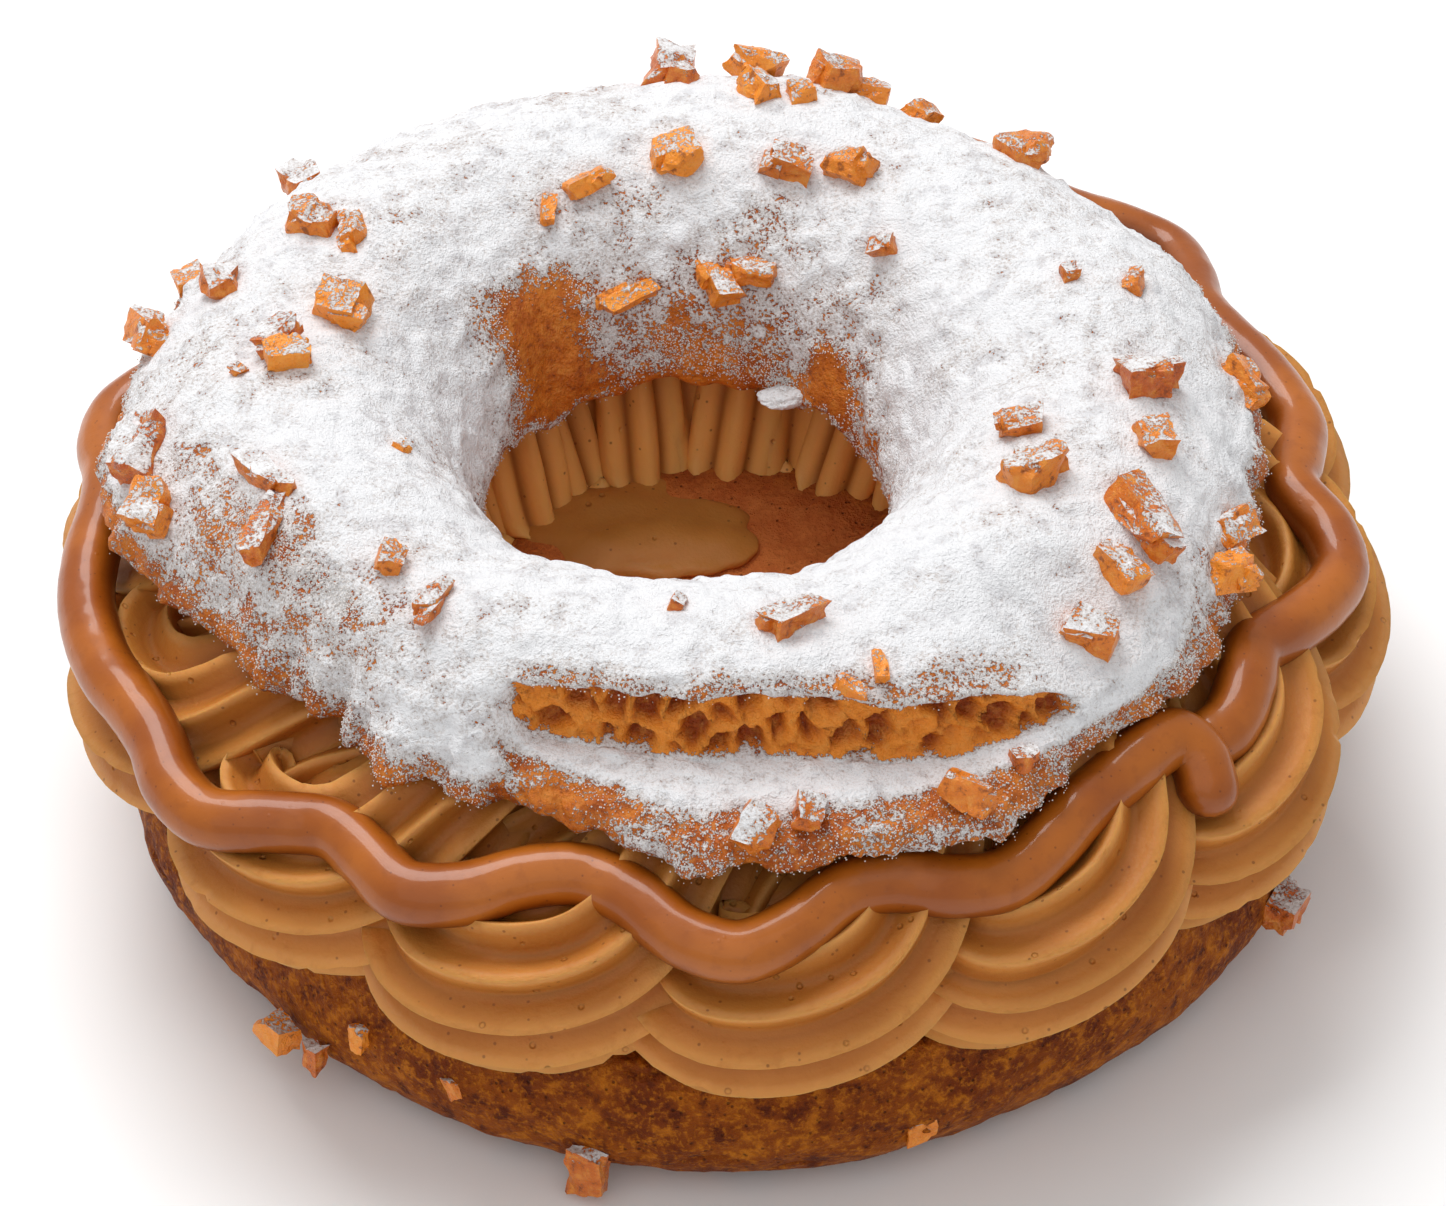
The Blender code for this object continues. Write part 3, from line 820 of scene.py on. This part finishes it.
def make_caramel():
    caramel = Finish("caramel", roughness=0.3)
    broad = caramel.clouds(10 * MM, 3.0, 0.5)
    fine = caramel.clouds(1.2 * MM, 3.0, 0.6)
    colour = caramel.mix(caramel.ramp(broad, 0.35, 0.65), tone(150, 74, 6), tone(176, 96, 20))
    colour = caramel.mix(caramel.ramp(fine, 0.5, 0.75) * 0.25, colour, tone(128, 60, 8))
    colour = caramel.mix(caramel.ramp(caramel.painted("crown"), 0.7, -0.2) * 0.85, colour, tone(92, 34, 0))
    specks = caramel.ramp(caramel.cells(1.0 * MM), 0.13, 0.05)
    colour = caramel.mix(specks * 0.55, colour, tone(86, 36, 8))
    bubbles = caramel.ramp(caramel.cells(1.9 * MM), 0.10, 0.04)
    relief = broad * 0.6 + fine * 0.3 + bubbles * 0.15
    caramel.set(Base_Color=colour, Roughness=0.36 + fine * 0.14, Normal=caramel.bump(relief, 0.18 * MM))
    caramel.set(Coat_Weight=0.45, Coat_Roughness=0.1, Specular_IOR_Level=0.25)
    return caramel.material


ribbon = add_piece("caramel_ribbon", ribbon_bm, make_caramel())
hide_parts("ribbon")

# %% [markdown]
# ## The lid
# The lid is the risen top of the ring: a thin crust over airy crumb, dusted with icing sugar. At the
# front the steam has torn it open, so a ragged lip stands over a band of amber crumb full of arched
# bubbles, and a sugared shelf lies before it. The section is split finely, most of all over the torn
# face, and rows stand closer together at the front, where the tear needs them.

# %% The lid's ragged section
LID_ROWS = 500
LID_SPLITS = [8, 14, 16, 14, 12, 10, 12, 26, 14, 16, 12, 8, 4, 4, 4, 4, 4, 6]
FRONT_DENSITY = 0.35


def lid_azimuth(row):
    """Rows stand closer together towards the front."""
    even = TURN * row / LID_ROWS
    return even - FRONT_DENSITY * math.sin(even)


def shift(points, index, out, up):
    """Moves one point of a section by that much."""
    radius, height = points[index]
    points[index] = (radius + out, height + up)


def ragged_section(azimuth):
    """The lid's section with its torn lip, its broken rim and the flaky edge of its hole."""
    points = lid_section(azimuth)
    torn = tear(azimuth)
    here = on_ring(azimuth, 45.0, 0.0)
    lip = 0.8 * lumps(here, 6.0, 31) + 0.5 * lumps(here, 2.0, 32)
    shift(points, 7, torn * (0.3 + lip), torn * 0.4 * lumps(here, 3.0, 33))
    shift(points, 8, -torn * (0.4 + 0.4 * lumps(here, 3.0, 34)), 0.0)
    rough = 1.0 + 0.8 * swell(azimuth, -40, 45)
    rim = rough * (1.2 * lumps(here, 4.5, 35) + 0.9 * lumps(here, 1.9, 36)) - 0.2
    for index, share in ((9, 0.25), (10, 0.7), (11, 1.0), (12, 0.9), (13, 0.4)):
        shift(points, index, share * rim, share * 0.9 * lumps(here, 2.6, 37))
    flake = 1.0 * lumps(here, 12.0, 38) + 1.8 * lumps(here * 0.42, 2.6, 39)
    for index, share in ((0, 1.0), (1, 0.6), (2, 0.15), (17, 0.8)):
        shift(points, index, -0.3 * share * flake, share * flake)
    return points


lid_rows = []
for row in range(LID_ROWS):
    lid_rows.append(split_section(ragged_section(lid_azimuth(row)), LID_SPLITS, closed=True))
LID_SIDES = len(lid_rows[0])
print("lid:", LID_ROWS, "rows of", LID_SIDES)

# %% [markdown]
# The section is drawn with soft curves, but a tear has hard corners, so the torn part is drawn with
# straight lines instead. After that, the skin is moved along its own normal: slow lumps of dough, the
# clods of damp sugar, and deep bubbles where the crumb lies open.

# %% The lid's surface


def lid_point(row, side):
    """A point of the lid before its fine relief."""
    radius, height, along = lid_rows[row][side]
    azimuth = lid_azimuth(row)
    if 6.6 < along < 10.0 and tear(azimuth) > 0:
        corners = ragged_section(azimuth)
        k = int(along)
        share = along - k
        straight = [a + (b - a) * share for a, b in zip(corners[k], corners[k + 1])]
        hard = tear(azimuth) * smooth_step(6.6, 7.0, along)
        radius += hard * (straight[0] - radius)
        height += hard * (straight[1] - height)
    return on_ring(azimuth, radius * MM, height * MM, LID_SHIFT * MM)


def crumb_share(azimuth, along):
    """1 in the open crumb below the torn lip, 0 elsewhere."""
    band = smooth_step(7.06, 7.2, along) * (1 - smooth_step(7.85, 8.02, along))
    return band * smooth_step(0.3, 0.7, tear(azimuth))


def sugar_share(azimuth, along):
    """How thickly the icing sugar lies, 1 where it hides the crust."""
    torn = tear(azimuth)
    cover = 0.46 + 0.44 * smooth_step(-0.4, 2.6, along) + 0.1 * swell(azimuth, 20, 120)
    wall = smooth_step(0.3, 0.9, along)
    cover -= 0.8 * swell(azimuth, -139, 24) * wall * (1 - smooth_step(2.5, 3.6, along))
    cover -= 0.7 * swell(azimuth, 136, 15) * wall * (1 - smooth_step(1.5, 2.4, along))
    cover -= 0.24 * swell(azimuth, 180, 70) * (1 - smooth_step(3.2, 4.6, along))
    cover -= 0.38 * swell(azimuth, -52, 50) * smooth_step(4.6, 7.6, along)
    cover -= 0.4 * torn * smooth_step(6.2, 6.9, along) * (1 - smooth_step(7.0, 7.2, along))
    rim = smooth_step(9.8, 10.6, along)
    rim += max(torn, swell(azimuth, 45, 35)) * (smooth_step(9.0, 9.6, along) - rim)
    cover -= (0.54 + 0.1 * max(torn, swell(azimuth, 45, 30)) - 0.34 * swell(azimuth, -52, 44)) * rim
    if along > 12.2:
        cover = 0.0
    return cover * (1 - crumb_share(azimuth, along))


lid_bm, lid_spots = ring_of_rows("lid", LID_ROWS, LID_SIDES, lid_point)
lid_bm.normal_update()
lid_moves, lid_sugar, lid_crumb, lid_hollow = [], [], [], []
for vertex, (row, side) in zip(lid_bm.verts, lid_spots):
    azimuth, along = lid_azimuth(row), lid_rows[row][side][2]
    point = vertex.co
    crumb, sugar = crumb_share(azimuth, along), sugar_share(azimuth, along)
    top = 1 - smooth_step(11.5, 12.5, along)
    rough = 0.30 * lumps(point, 7 * MM, 41) + 0.20 * lumps(point, 2.6 * MM, 42)
    rough += 0.12 * lumps(point, 1.0 * MM, 43)
    rough += 0.35 * smooth_step(8.6, 9.8, along) * lumps(point, 0.7 * MM, 48)
    clods = 0.3 * smooth_step(0.2, 0.7, sugar) * smooth_step(-0.1, 0.5, lumps(point, 1.9 * MM, 44))
    move = vertex.normal * (MM * top * (1 - crumb) * (rough + clods))
    hollow = 0.0
    if crumb > 0:
        tall = Vector((point.x, point.y, 0.75 * point.z))
        tall += Vector((0.5, 0.3, 0.3)) * (MM * lumps(point, 1.4 * MM, 47))
        big = smooth_step(0.04, 0.34, cell_edge(tall, 2.5 * MM, 45))
        small = smooth_step(0.05, 0.3, cell_edge(tall, 1.2 * MM, 46))
        inward = Vector((LID_SHIFT * MM - point.x, -point.y, 0)).normalized()
        move += inward * (MM * crumb * (0.1 + 1.5 * big + 0.35 * small))
        # How deep in a bubble the point lies, which the finish paints darker as shade.
        hollow = crumb * (0.75 * big + 0.25 * small)
    lid_moves.append(move)
    lid_sugar.append(sugar)
    lid_crumb.append(crumb)
    lid_hollow.append(hollow)
for vertex, move in zip(lid_bm.verts, lid_moves):
    vertex.co += move
paint(lid_bm, "sugar", lid_sugar)
paint(lid_bm, "crumb", lid_crumb)
paint(lid_bm, "hollow", lid_hollow)
print("lid: sugar covers %.0f %% of its points" % (100 * sum(s > 0.5 for s in lid_sugar) / len(lid_sugar)))

# %% [markdown]
# Icing sugar is white powder over brown crust. It isn't a second mesh but a mask: the painted
# thickness is broken up by clouds of three sizes, and what stays over a threshold is white. Thin
# sugar lets the crust through as grains, so the finest cloud is the strongest. The sugar is painted
# greyer in the dips of its middle cloud, as shade. The open crumb is amber, painted bright to stand in
# for light under the lip, darker deep in its bubbles as painted shade and lighter on their walls.

# %% The lid's finish


def sugar_over(finish, cover, crust):
    """The crust's colour under icing sugar, and the mask and relief of the sugar."""
    broad = finish.clouds(7 * MM, 3.0, 0.55)
    middle = finish.clouds(1.9 * MM, 4.0, 0.65)
    grain = finish.clouds(0.3 * MM, 2.0, 0.75)
    field = cover + (broad - 0.5) * 1.0 + (middle - 0.5) * 1.1 + (grain - 0.5) * 1.4
    mask = finish.ramp(field, 0.43, 0.53)
    thick = finish.ramp(field, 0.5, 0.95)
    sugar = finish.mix(thick, tone(202, 194, 190), tone(234, 234, 236))
    # Painted shade: the sugar is greyer where the middle cloud sinks its bump.
    sugar = finish.mix(finish.ramp(middle, 0.5, 0.32) * 0.5, sugar, tone(200, 199, 203))
    relief = mask * 0.5 + middle * 1.2 + grain * 0.9
    return finish.mix(mask, crust, sugar), mask, relief


def make_sugared_crust():
    crust = Finish("sugared_crust", roughness=0.8)
    broad = crust.clouds(5 * MM, 4.0, 0.6)
    fine = crust.clouds(0.9 * MM, 3.0, 0.65)
    brown = crust.mix(crust.ramp(broad, 0.35, 0.65), tone(172, 80, 10), tone(206, 112, 26))
    brown = crust.mix(crust.ramp(fine, 0.45, 0.7) * 0.5, brown, tone(228, 146, 58))
    brown = crust.mix(crust.ramp(fine, 0.45, 0.3) * 0.6, brown, tone(120, 48, 6))
    # Painted light and shade: the crumb's amber is bright to stand in for light under the lip, and darker
    # deep in each bubble.
    amber = crust.mix(crust.ramp(crust.painted("hollow"), 0.1, 0.9), tone(236, 140, 40), tone(156, 66, 6))
    amber = crust.mix(crust.ramp(fine, 0.45, 0.7) * 0.35, amber, tone(236, 164, 76))
    colour, mask, relief = sugar_over(crust, crust.painted("sugar"), brown)
    crumb = crust.ramp(crust.painted("crumb"), 0.25, 0.5)
    colour = crust.mix(crumb * (1 - mask), colour, amber)
    crust.set(Base_Color=colour, Roughness=0.45 + mask * 0.45, Normal=crust.bump(relief, 0.3 * MM))
    crust.set(Specular_IOR_Level=0.35)
    return crust.material


lid_crust = add_piece("lid_crust", lid_bm, make_sugared_crust())
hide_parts("lid")

# %% [markdown]
# A flake of sugared crust has curled off the lip of the hole. It is a ball pressed thin and made
# uneven, and it takes the lid's own finish, painted as if thick sugar lay on all of it.

# %% The flake at the hole
FLAKE_PLACE = Vector((5.3, 14.3, 29.2)) * MM
FLAKE_SIZE = Vector((2.5, 1.6, 0.8)) * MM
FLAKE_TURN = math.radians(25)


def curled_flake():
    """A thin uneven flake that rises towards its free end."""
    bm = bmesh.new()
    bmesh.ops.create_icosphere(bm, subdivisions=5, radius=1.0)
    for vertex in bm.verts:
        uneven = 0.25 * lumps(vertex.co, 0.8, 81) + 0.1 * lumps(vertex.co, 0.3, 82)
        vertex.co += vertex.co.normalized() * uneven
        vertex.co.z += 0.5 * vertex.co.x ** 2
    bmesh.ops.scale(bm, vec=FLAKE_SIZE, verts=bm.verts)
    bmesh.ops.rotate(bm, matrix=Matrix.Rotation(FLAKE_TURN, 3, "Z"), verts=bm.verts)
    bmesh.ops.translate(bm, vec=FLAKE_PLACE, verts=bm.verts)
    paint_all(bm, sugar=0.85, crumb=0.0, hollow=0.0)
    return bm


flake = add_piece("crust_flake", curled_flake(), lid_crust.data.materials[0])
print("flake: %.1f mm across" % (flake.dimensions.x / MM))

# %% [markdown]
# ## The chopped nuts
# Nuts chopped for praline break into small blocks and slivers with flat faces. Each piece here starts
# as a cube with uneven corners, loses them to random cuts, is stretched, and gets rough faces, so no
# two are alike. A large one is two such blocks that hold together. They are dropped on the lid
# along its own surface and sink in a little, and those on the base stand out of its side.

# %% Where the nuts lie
random.seed(7)
# Azimuth in degrees, distance from the lid's axis, length and breadth in mm.
LID_NUTS = {
    "back": [
        (-178, 42, 5.6, 4.6), (172, 43, 4.2, 3.4), (170, 36, 3.6, 3.0), (165, 37, 2.6, 2.2),
        (163, 43, 4.4, 3.6), (159, 44, 3.4, 3.0), (154, 46, 3.6, 2.8), (-179, 27, 4.2, 3.6),
        (162, 28, 4.0, 3.4), (152, 29, 3.8, 3.2), (137, 42, 4.6, 3.6), (-161, 26, 4.2, 2.0),
        (-152, 25, 3.2, 1.4), (137, 24, 2.6, 2.0),
    ],
    "left": [
        (-134, 46, 4.4, 3.6), (-119, 36, 4.2, 3.2), (-120, 32, 3.8, 2.0), (-107, 40, 3.4, 3.2),
        (-104, 29, 4.6, 3.6), (-115, 46, 4.2, 3.2), (-103, 45, 4.6, 3.8), (-94, 33, 4.4, 3.4),
        (-90, 32, 3.8, 3.0), (-88, 36, 1.8, 1.2), (-82, 44, 4.8, 4.0), (-74, 44, 4.4, 3.6),
        (-70, 45, 4.4, 3.8), (-67, 36, 5.2, 2.2), (-59, 38, 6.4, 2.2), (-65, 46, 3.6, 3.0),
        (-60, 45, 3.4, 1.6), (-70, 24, 1.4, 1.2),
    ],
    "front": [
        (-43, 33, 2.9, 2.2), (-34, 34, 4.4, 1.7), (-44, 42, 2.8, 2.4), (-39, 44, 5.0, 2.0),
        (-29, 44, 3.6, 3.0), (-16, 46, 3.4, 2.4), (-1, 29, 1.8, 1.2), (15, 32, 5.6, 2.6),
        (7, 46, 4.0, 3.2), (12, 45, 3.0, 2.4), (27, 47, 3.6, 3.0), (23, 38, 3.0, 1.2),
        (19, 39, 3.0, 1.4), (48, 42, 4.4, 3.2), (-22, 45, 2.4, 1.8), (34, 46, 2.2, 1.8),
    ],
    "right": [
        (108, 33, 1.8, 1.6), (106, 38, 2.8, 1.8), (87, 37, 4.6, 3.8), (98, 46, 4.2, 3.4),
        (73, 28, 3.8, 2.8), (62, 31, 5.2, 3.8), (76, 38, 3.8, 3.0), (63, 40, 8.0, 4.0),
        (56, 41, 4.6, 3.0), (74, 45, 4.4, 3.2), (68, 46, 4.2, 3.2), (66, 47, 2.8, 2.2),
    ],
    "hole": [(-165, 19, 5.6, 1.8), (164, 20, 4.2, 2.6), (171, 19, 3.8, 2.8)],
}
# Azimuth in degrees, distance from the axis, height, length and breadth in mm.
BASE_NUTS = [
    (-12, 50.0, 3.4, 4.6, 3.6), (18, 49.6, 6.0, 2.8, 2.4), (63, 51.6, 6.0, 4.4, 3.4),
    (-44, 51.4, 5.8, 3.4, 2.8), (-40, 50.8, 5.0, 2.6, 2.2), (-35, 50.0, 9.5, 2.4, 1.8),
    (-25, 50.0, 8.5, 2.2, 1.6),
]
LARGE_NUT = 3.4 * MM
NUT_CUTS = 5
NUT_SPLITS = 4


def join(whole, part, **marks):
    """Adds one bmesh to another, with the same mark on each of its points."""
    scrap = bpy.data.meshes.new("scrap")
    bmesh.ops.triangulate(part, faces=part.faces)
    bmesh.ops.recalc_face_normals(part, faces=part.faces)
    paint_all(part, **marks)
    part.to_mesh(scrap)
    part.free()
    whole.from_mesh(scrap)
    bpy.data.meshes.remove(scrap)


def fragment(size):
    """One broken block: a cube with uneven corners, cut by random planes, with rough faces."""
    bm = bmesh.new()
    bmesh.ops.create_cube(bm, size=1.0)
    for vertex in bm.verts:
        vertex.co += Vector([random.uniform(-0.12, 0.12) for _ in range(3)])
    for _ in range(NUT_CUTS):
        outward = Vector([random.gauss(0, 1) for _ in range(3)]).normalized()
        everything = bm.verts[:] + bm.edges[:] + bm.faces[:]
        reach = random.uniform(0.48, 0.62)
        place = outward * reach
        bmesh.ops.bisect_plane(bm, geom=everything, plane_co=place, plane_no=outward, clear_outer=True)
        cut = [edge for edge in bm.edges if edge.is_boundary]
        bmesh.ops.holes_fill(bm, edges=cut, sides=0)
    bmesh.ops.triangulate(bm, faces=bm.faces)
    spans = [max(v.co[axis] for v in bm.verts) - min(v.co[axis] for v in bm.verts) for axis in range(3)]
    bmesh.ops.scale(bm, vec=[side / span for side, span in zip(size, spans)], verts=bm.verts)
    bmesh.ops.subdivide_edges(bm, edges=bm.edges, cuts=NUT_SPLITS, use_grid_fill=True)
    seed = random.uniform(0, 100)
    breadth = size[1]
    for vertex in bm.verts:
        rough = 0.07 * lumps(vertex.co, 0.45 * breadth, seed) + 0.05 * lumps(vertex.co, 0.18 * breadth, seed)
        bite = smooth_step(0.05, 0.5, lumps(vertex.co, 0.5 * breadth, seed + 9))
        vertex.co += vertex.co.normalized() * (breadth * (rough - 0.14 * bite))
    return bm


def chunk(length, breadth, place, normal, sink):
    """One chopped nut, laid on a surface and sunk into it. A large one is two blocks joined."""
    bm = fragment((length, breadth, breadth * random.uniform(0.75, 0.95)))
    if length > LARGE_NUT:
        smaller = random.uniform(0.6, 0.7)
        second = fragment((length * smaller, breadth * smaller, breadth * smaller))
        along, across = random.uniform(0.2, 0.4), random.uniform(-0.3, 0.3)
        aside = Vector((along * length, across * breadth, -0.05 * breadth))
        bmesh.ops.translate(second, vec=aside, verts=second.verts)
        join(bm, second)
    turn = Matrix.Rotation(random.uniform(0, TURN), 4, "Z") @ Matrix.Rotation(random.gauss(0, 0.3), 4, "X")
    stand = normal.to_track_quat("Z", "Y").to_matrix().to_4x4()
    lift = Matrix.Translation(place + normal * (breadth * (0.42 - sink)))
    bmesh.ops.transform(bm, matrix=lift @ stand @ turn, verts=bm.verts)
    return bm


lid_tree = BVHTree.FromObject(lid_crust, bpy.context.evaluated_depsgraph_get())


def drop(azimuth_deg, distance):
    """Where something dropped over the lid at that place comes to rest, and which way up is there."""
    above = on_ring(math.radians(azimuth_deg), distance * MM, 80 * MM, LID_SHIFT * MM)
    place, normal, _, _ = lid_tree.ray_cast(above, Vector((0, 0, -1)))
    return place, normal


nuts_bm = bmesh.new()
for nuts in LID_NUTS.values():
    for azimuth_deg, distance, length, breadth in nuts:
        place, normal = drop(azimuth_deg, distance)
        if place is not None:
            upright = (normal + Vector((0, 0, 1))).normalized()
            join(nuts_bm, chunk(length * MM, breadth * MM, place, upright, 0.2), roast=random.random())
for azimuth_deg, distance, height, length, breadth in BASE_NUTS:
    azimuth = math.radians(azimuth_deg)
    place, outward = on_ring(azimuth, distance * MM, height * MM), on_ring(azimuth, 1.0, 0.2)
    join(nuts_bm, chunk(length * MM, breadth * MM, place, outward, 0.3), roast=random.random())
print("nuts:", sum(map(len, LID_NUTS.values())) + len(BASE_NUTS), "in", len(nuts_bm.faces), "triangles")

# %% [markdown]
# Roasted nuts in caramel range from pale gold to dark amber, so each piece carries one random number
# that picks its tone. Sugar has settled on what faces up, which the shader reads from the normal.

# %% The nuts' finish


def make_nut():
    nut = Finish("roasted_nut", roughness=0.3)
    fine = nut.clouds(0.9 * MM, 3.0, 0.6)
    roast = nut.painted("roast")
    colour = nut.mix(roast, tone(248, 148, 36), tone(196, 90, 14))
    colour = nut.mix(nut.ramp(fine, 0.45, 0.7) * 0.5, colour, tone(244, 168, 70))
    colour = nut.mix(nut.ramp(fine, 0.45, 0.3) * 0.7, colour, tone(110, 46, 8))
    facing = nut.node("ShaderNodeNewGeometry", output=1)
    upward = nut.node("ShaderNodeSeparateXYZ", inputs={0: facing}, output=2)
    cover = nut.ramp(upward, 0.3, 0.95) * 0.58 + roast * 0.22 - 0.12
    colour, mask, relief = sugar_over(nut, cover, colour)
    nut.set(Base_Color=colour, Roughness=0.28 + mask * 0.5, Normal=nut.bump(relief, 0.2 * MM))
    return nut.material


nuts = add_piece("chopped_nuts", nuts_bm, make_nut())
nuts.data.set_sharp_from_angle(angle=math.radians(35))

# %% [markdown]
# ## The sugar's grains
# Where the icing sugar lies thin, single grains and small clots stand on the crust and catch the
# light. They are tiny eight-faced crystals, dropped by the thousand where the painted sugar is thin,
# and joined into one piece.

# %% The grains
GRAINS = 23000
GRAIN_SIZES = (0.04, 0.10)
GRAIN_SCATTER = 0.4 * MM


def grains():
    """Small crystals on the lid's crust, most of them where the sugar is thin."""
    bm = bmesh.new()
    bmesh.ops.create_uvsphere(bm, u_segments=4, v_segments=2, radius=1.0)
    seed_crystal = [vertex.co.copy() for vertex in bm.verts]
    seed_faces = [[vertex.index for vertex in face.verts] for face in bm.faces]
    bm.free()
    spots = list(zip(lid_crust.data.vertices, lid_sugar, lid_crumb))
    points, faces = [], []
    while len(faces) < GRAINS * len(seed_faces):
        vertex, sugar, crumb = random.choice(spots)
        thin = 0.7 - abs(sugar - 0.48) / 0.24
        if thin < random.random() or crumb > 0.3 or vertex.normal.z < -0.2:
            continue
        size = random.uniform(*GRAIN_SIZES) * MM
        turn = Matrix.Rotation(random.uniform(0, TURN), 3, vertex.normal)
        nudge = Vector([random.gauss(0, GRAIN_SCATTER) for _ in range(3)])
        nudge -= vertex.normal * nudge.dot(vertex.normal)
        first = len(points)
        points += [vertex.co + nudge + turn @ corner * size for corner in seed_crystal]
        faces += [[first + index for index in face] for face in seed_faces]
    mesh = bpy.data.meshes.new("sugar_grains")
    mesh.from_pydata(points, [], faces)
    result = bmesh.new()
    result.from_mesh(mesh)
    bpy.data.meshes.remove(mesh)
    return result


def make_grain():
    grain = Finish("sugar_grain", roughness=0.55)
    cloud = grain.clouds(0.6 * MM, 2.0, 0.6)
    grain.set(Base_Color=grain.mix(cloud, tone(212, 204, 198), tone(234, 232, 230)))
    grain.set(Roughness=0.5 + cloud * 0.2, Normal=grain.bump(cloud, 0.03 * MM))
    return grain.material


sugar_grains = add_piece("sugar_grains", grains(), make_grain())
print("grains:", len(sugar_grains.data.polygons), "faces")

# %% [markdown]
# ## Camera, light and floor
# The pastry stands on a plain pale floor under soft light from above and behind, as on a baker's
# counter by a window, with a weaker light from the front to open the shadows. The camera looks down
# at about 43 degrees with a long lens.

# %% Camera, light and floor
CAMERA_TILT = math.radians(42.55)
CAMERA_DISTANCE = 423.7 * MM
CAMERA_AIM = Vector((0, 0, 18.5 * MM))
CAMERA_LENS = 125.5
SENSOR_WIDTH = 36.0
KEY_LIGHT = {"place": (-0.2, 0.38, 0.8), "size": 0.55, "power": 6.2}
FILL_LIGHT = {"place": (-0.15, -0.5, 0.7), "size": 1.0, "power": 1.4}
SKY_STRENGTH = 0.56
FLOOR_SIZE = 3.0

camera = bpy.data.objects.new("camera", bpy.data.cameras.new("camera"))
camera.data.lens = CAMERA_LENS
camera.data.sensor_width = SENSOR_WIDTH
camera.data.clip_start = 0.01
back = Vector((0, -math.cos(CAMERA_TILT), math.sin(CAMERA_TILT)))
camera.location = CAMERA_AIM + back * CAMERA_DISTANCE
camera.rotation_mode = "QUATERNION"
camera.rotation_quaternion = (-back).to_track_quat("-Z", "Y")
bpy.context.scene.collection.objects.link(camera)
bpy.context.scene.camera = camera

for name, light in (("key_light", KEY_LIGHT), ("fill_light", FILL_LIGHT)):
    lamp = bpy.data.objects.new(name, bpy.data.lights.new(name, "AREA"))
    lamp.data.size = light["size"]
    lamp.data.energy = light["power"]
    lamp.location = light["place"]
    lamp.rotation_mode = "QUATERNION"
    lamp.rotation_quaternion = (-Vector(light["place"])).to_track_quat("-Z", "Y")
    bpy.context.scene.collection.objects.link(lamp)

world = bpy.data.worlds.new("studio")
world.use_nodes = True
sky = world.node_tree.nodes["Background"]
sky.inputs["Color"].default_value = (1.0, 1.0, 1.0, 1.0)
sky.inputs["Strength"].default_value = SKY_STRENGTH
bpy.context.scene.world = world
bpy.context.scene.view_settings.view_transform = "Standard"

floor_bm = bmesh.new()
bmesh.ops.create_grid(floor_bm, x_segments=1, y_segments=1, size=FLOOR_SIZE)
floor_finish = Finish("pale_floor", roughness=0.7)
floor_cloud = floor_finish.clouds(0.2, 2.0, 0.5)
floor_finish.set(Base_Color=floor_finish.mix(floor_cloud, (0.92, 0.92, 0.92), (0.95, 0.95, 0.95)))
floor_mesh = bpy.data.meshes.new("floor")
floor_bm.to_mesh(floor_mesh)
floor_bm.free()
floor_mesh.materials.append(floor_finish.material)
floor = bpy.data.objects.new("floor", floor_mesh)
bpy.context.scene.collection.objects.link(floor)
print("camera at mm:", [round(c / MM) for c in camera.location])
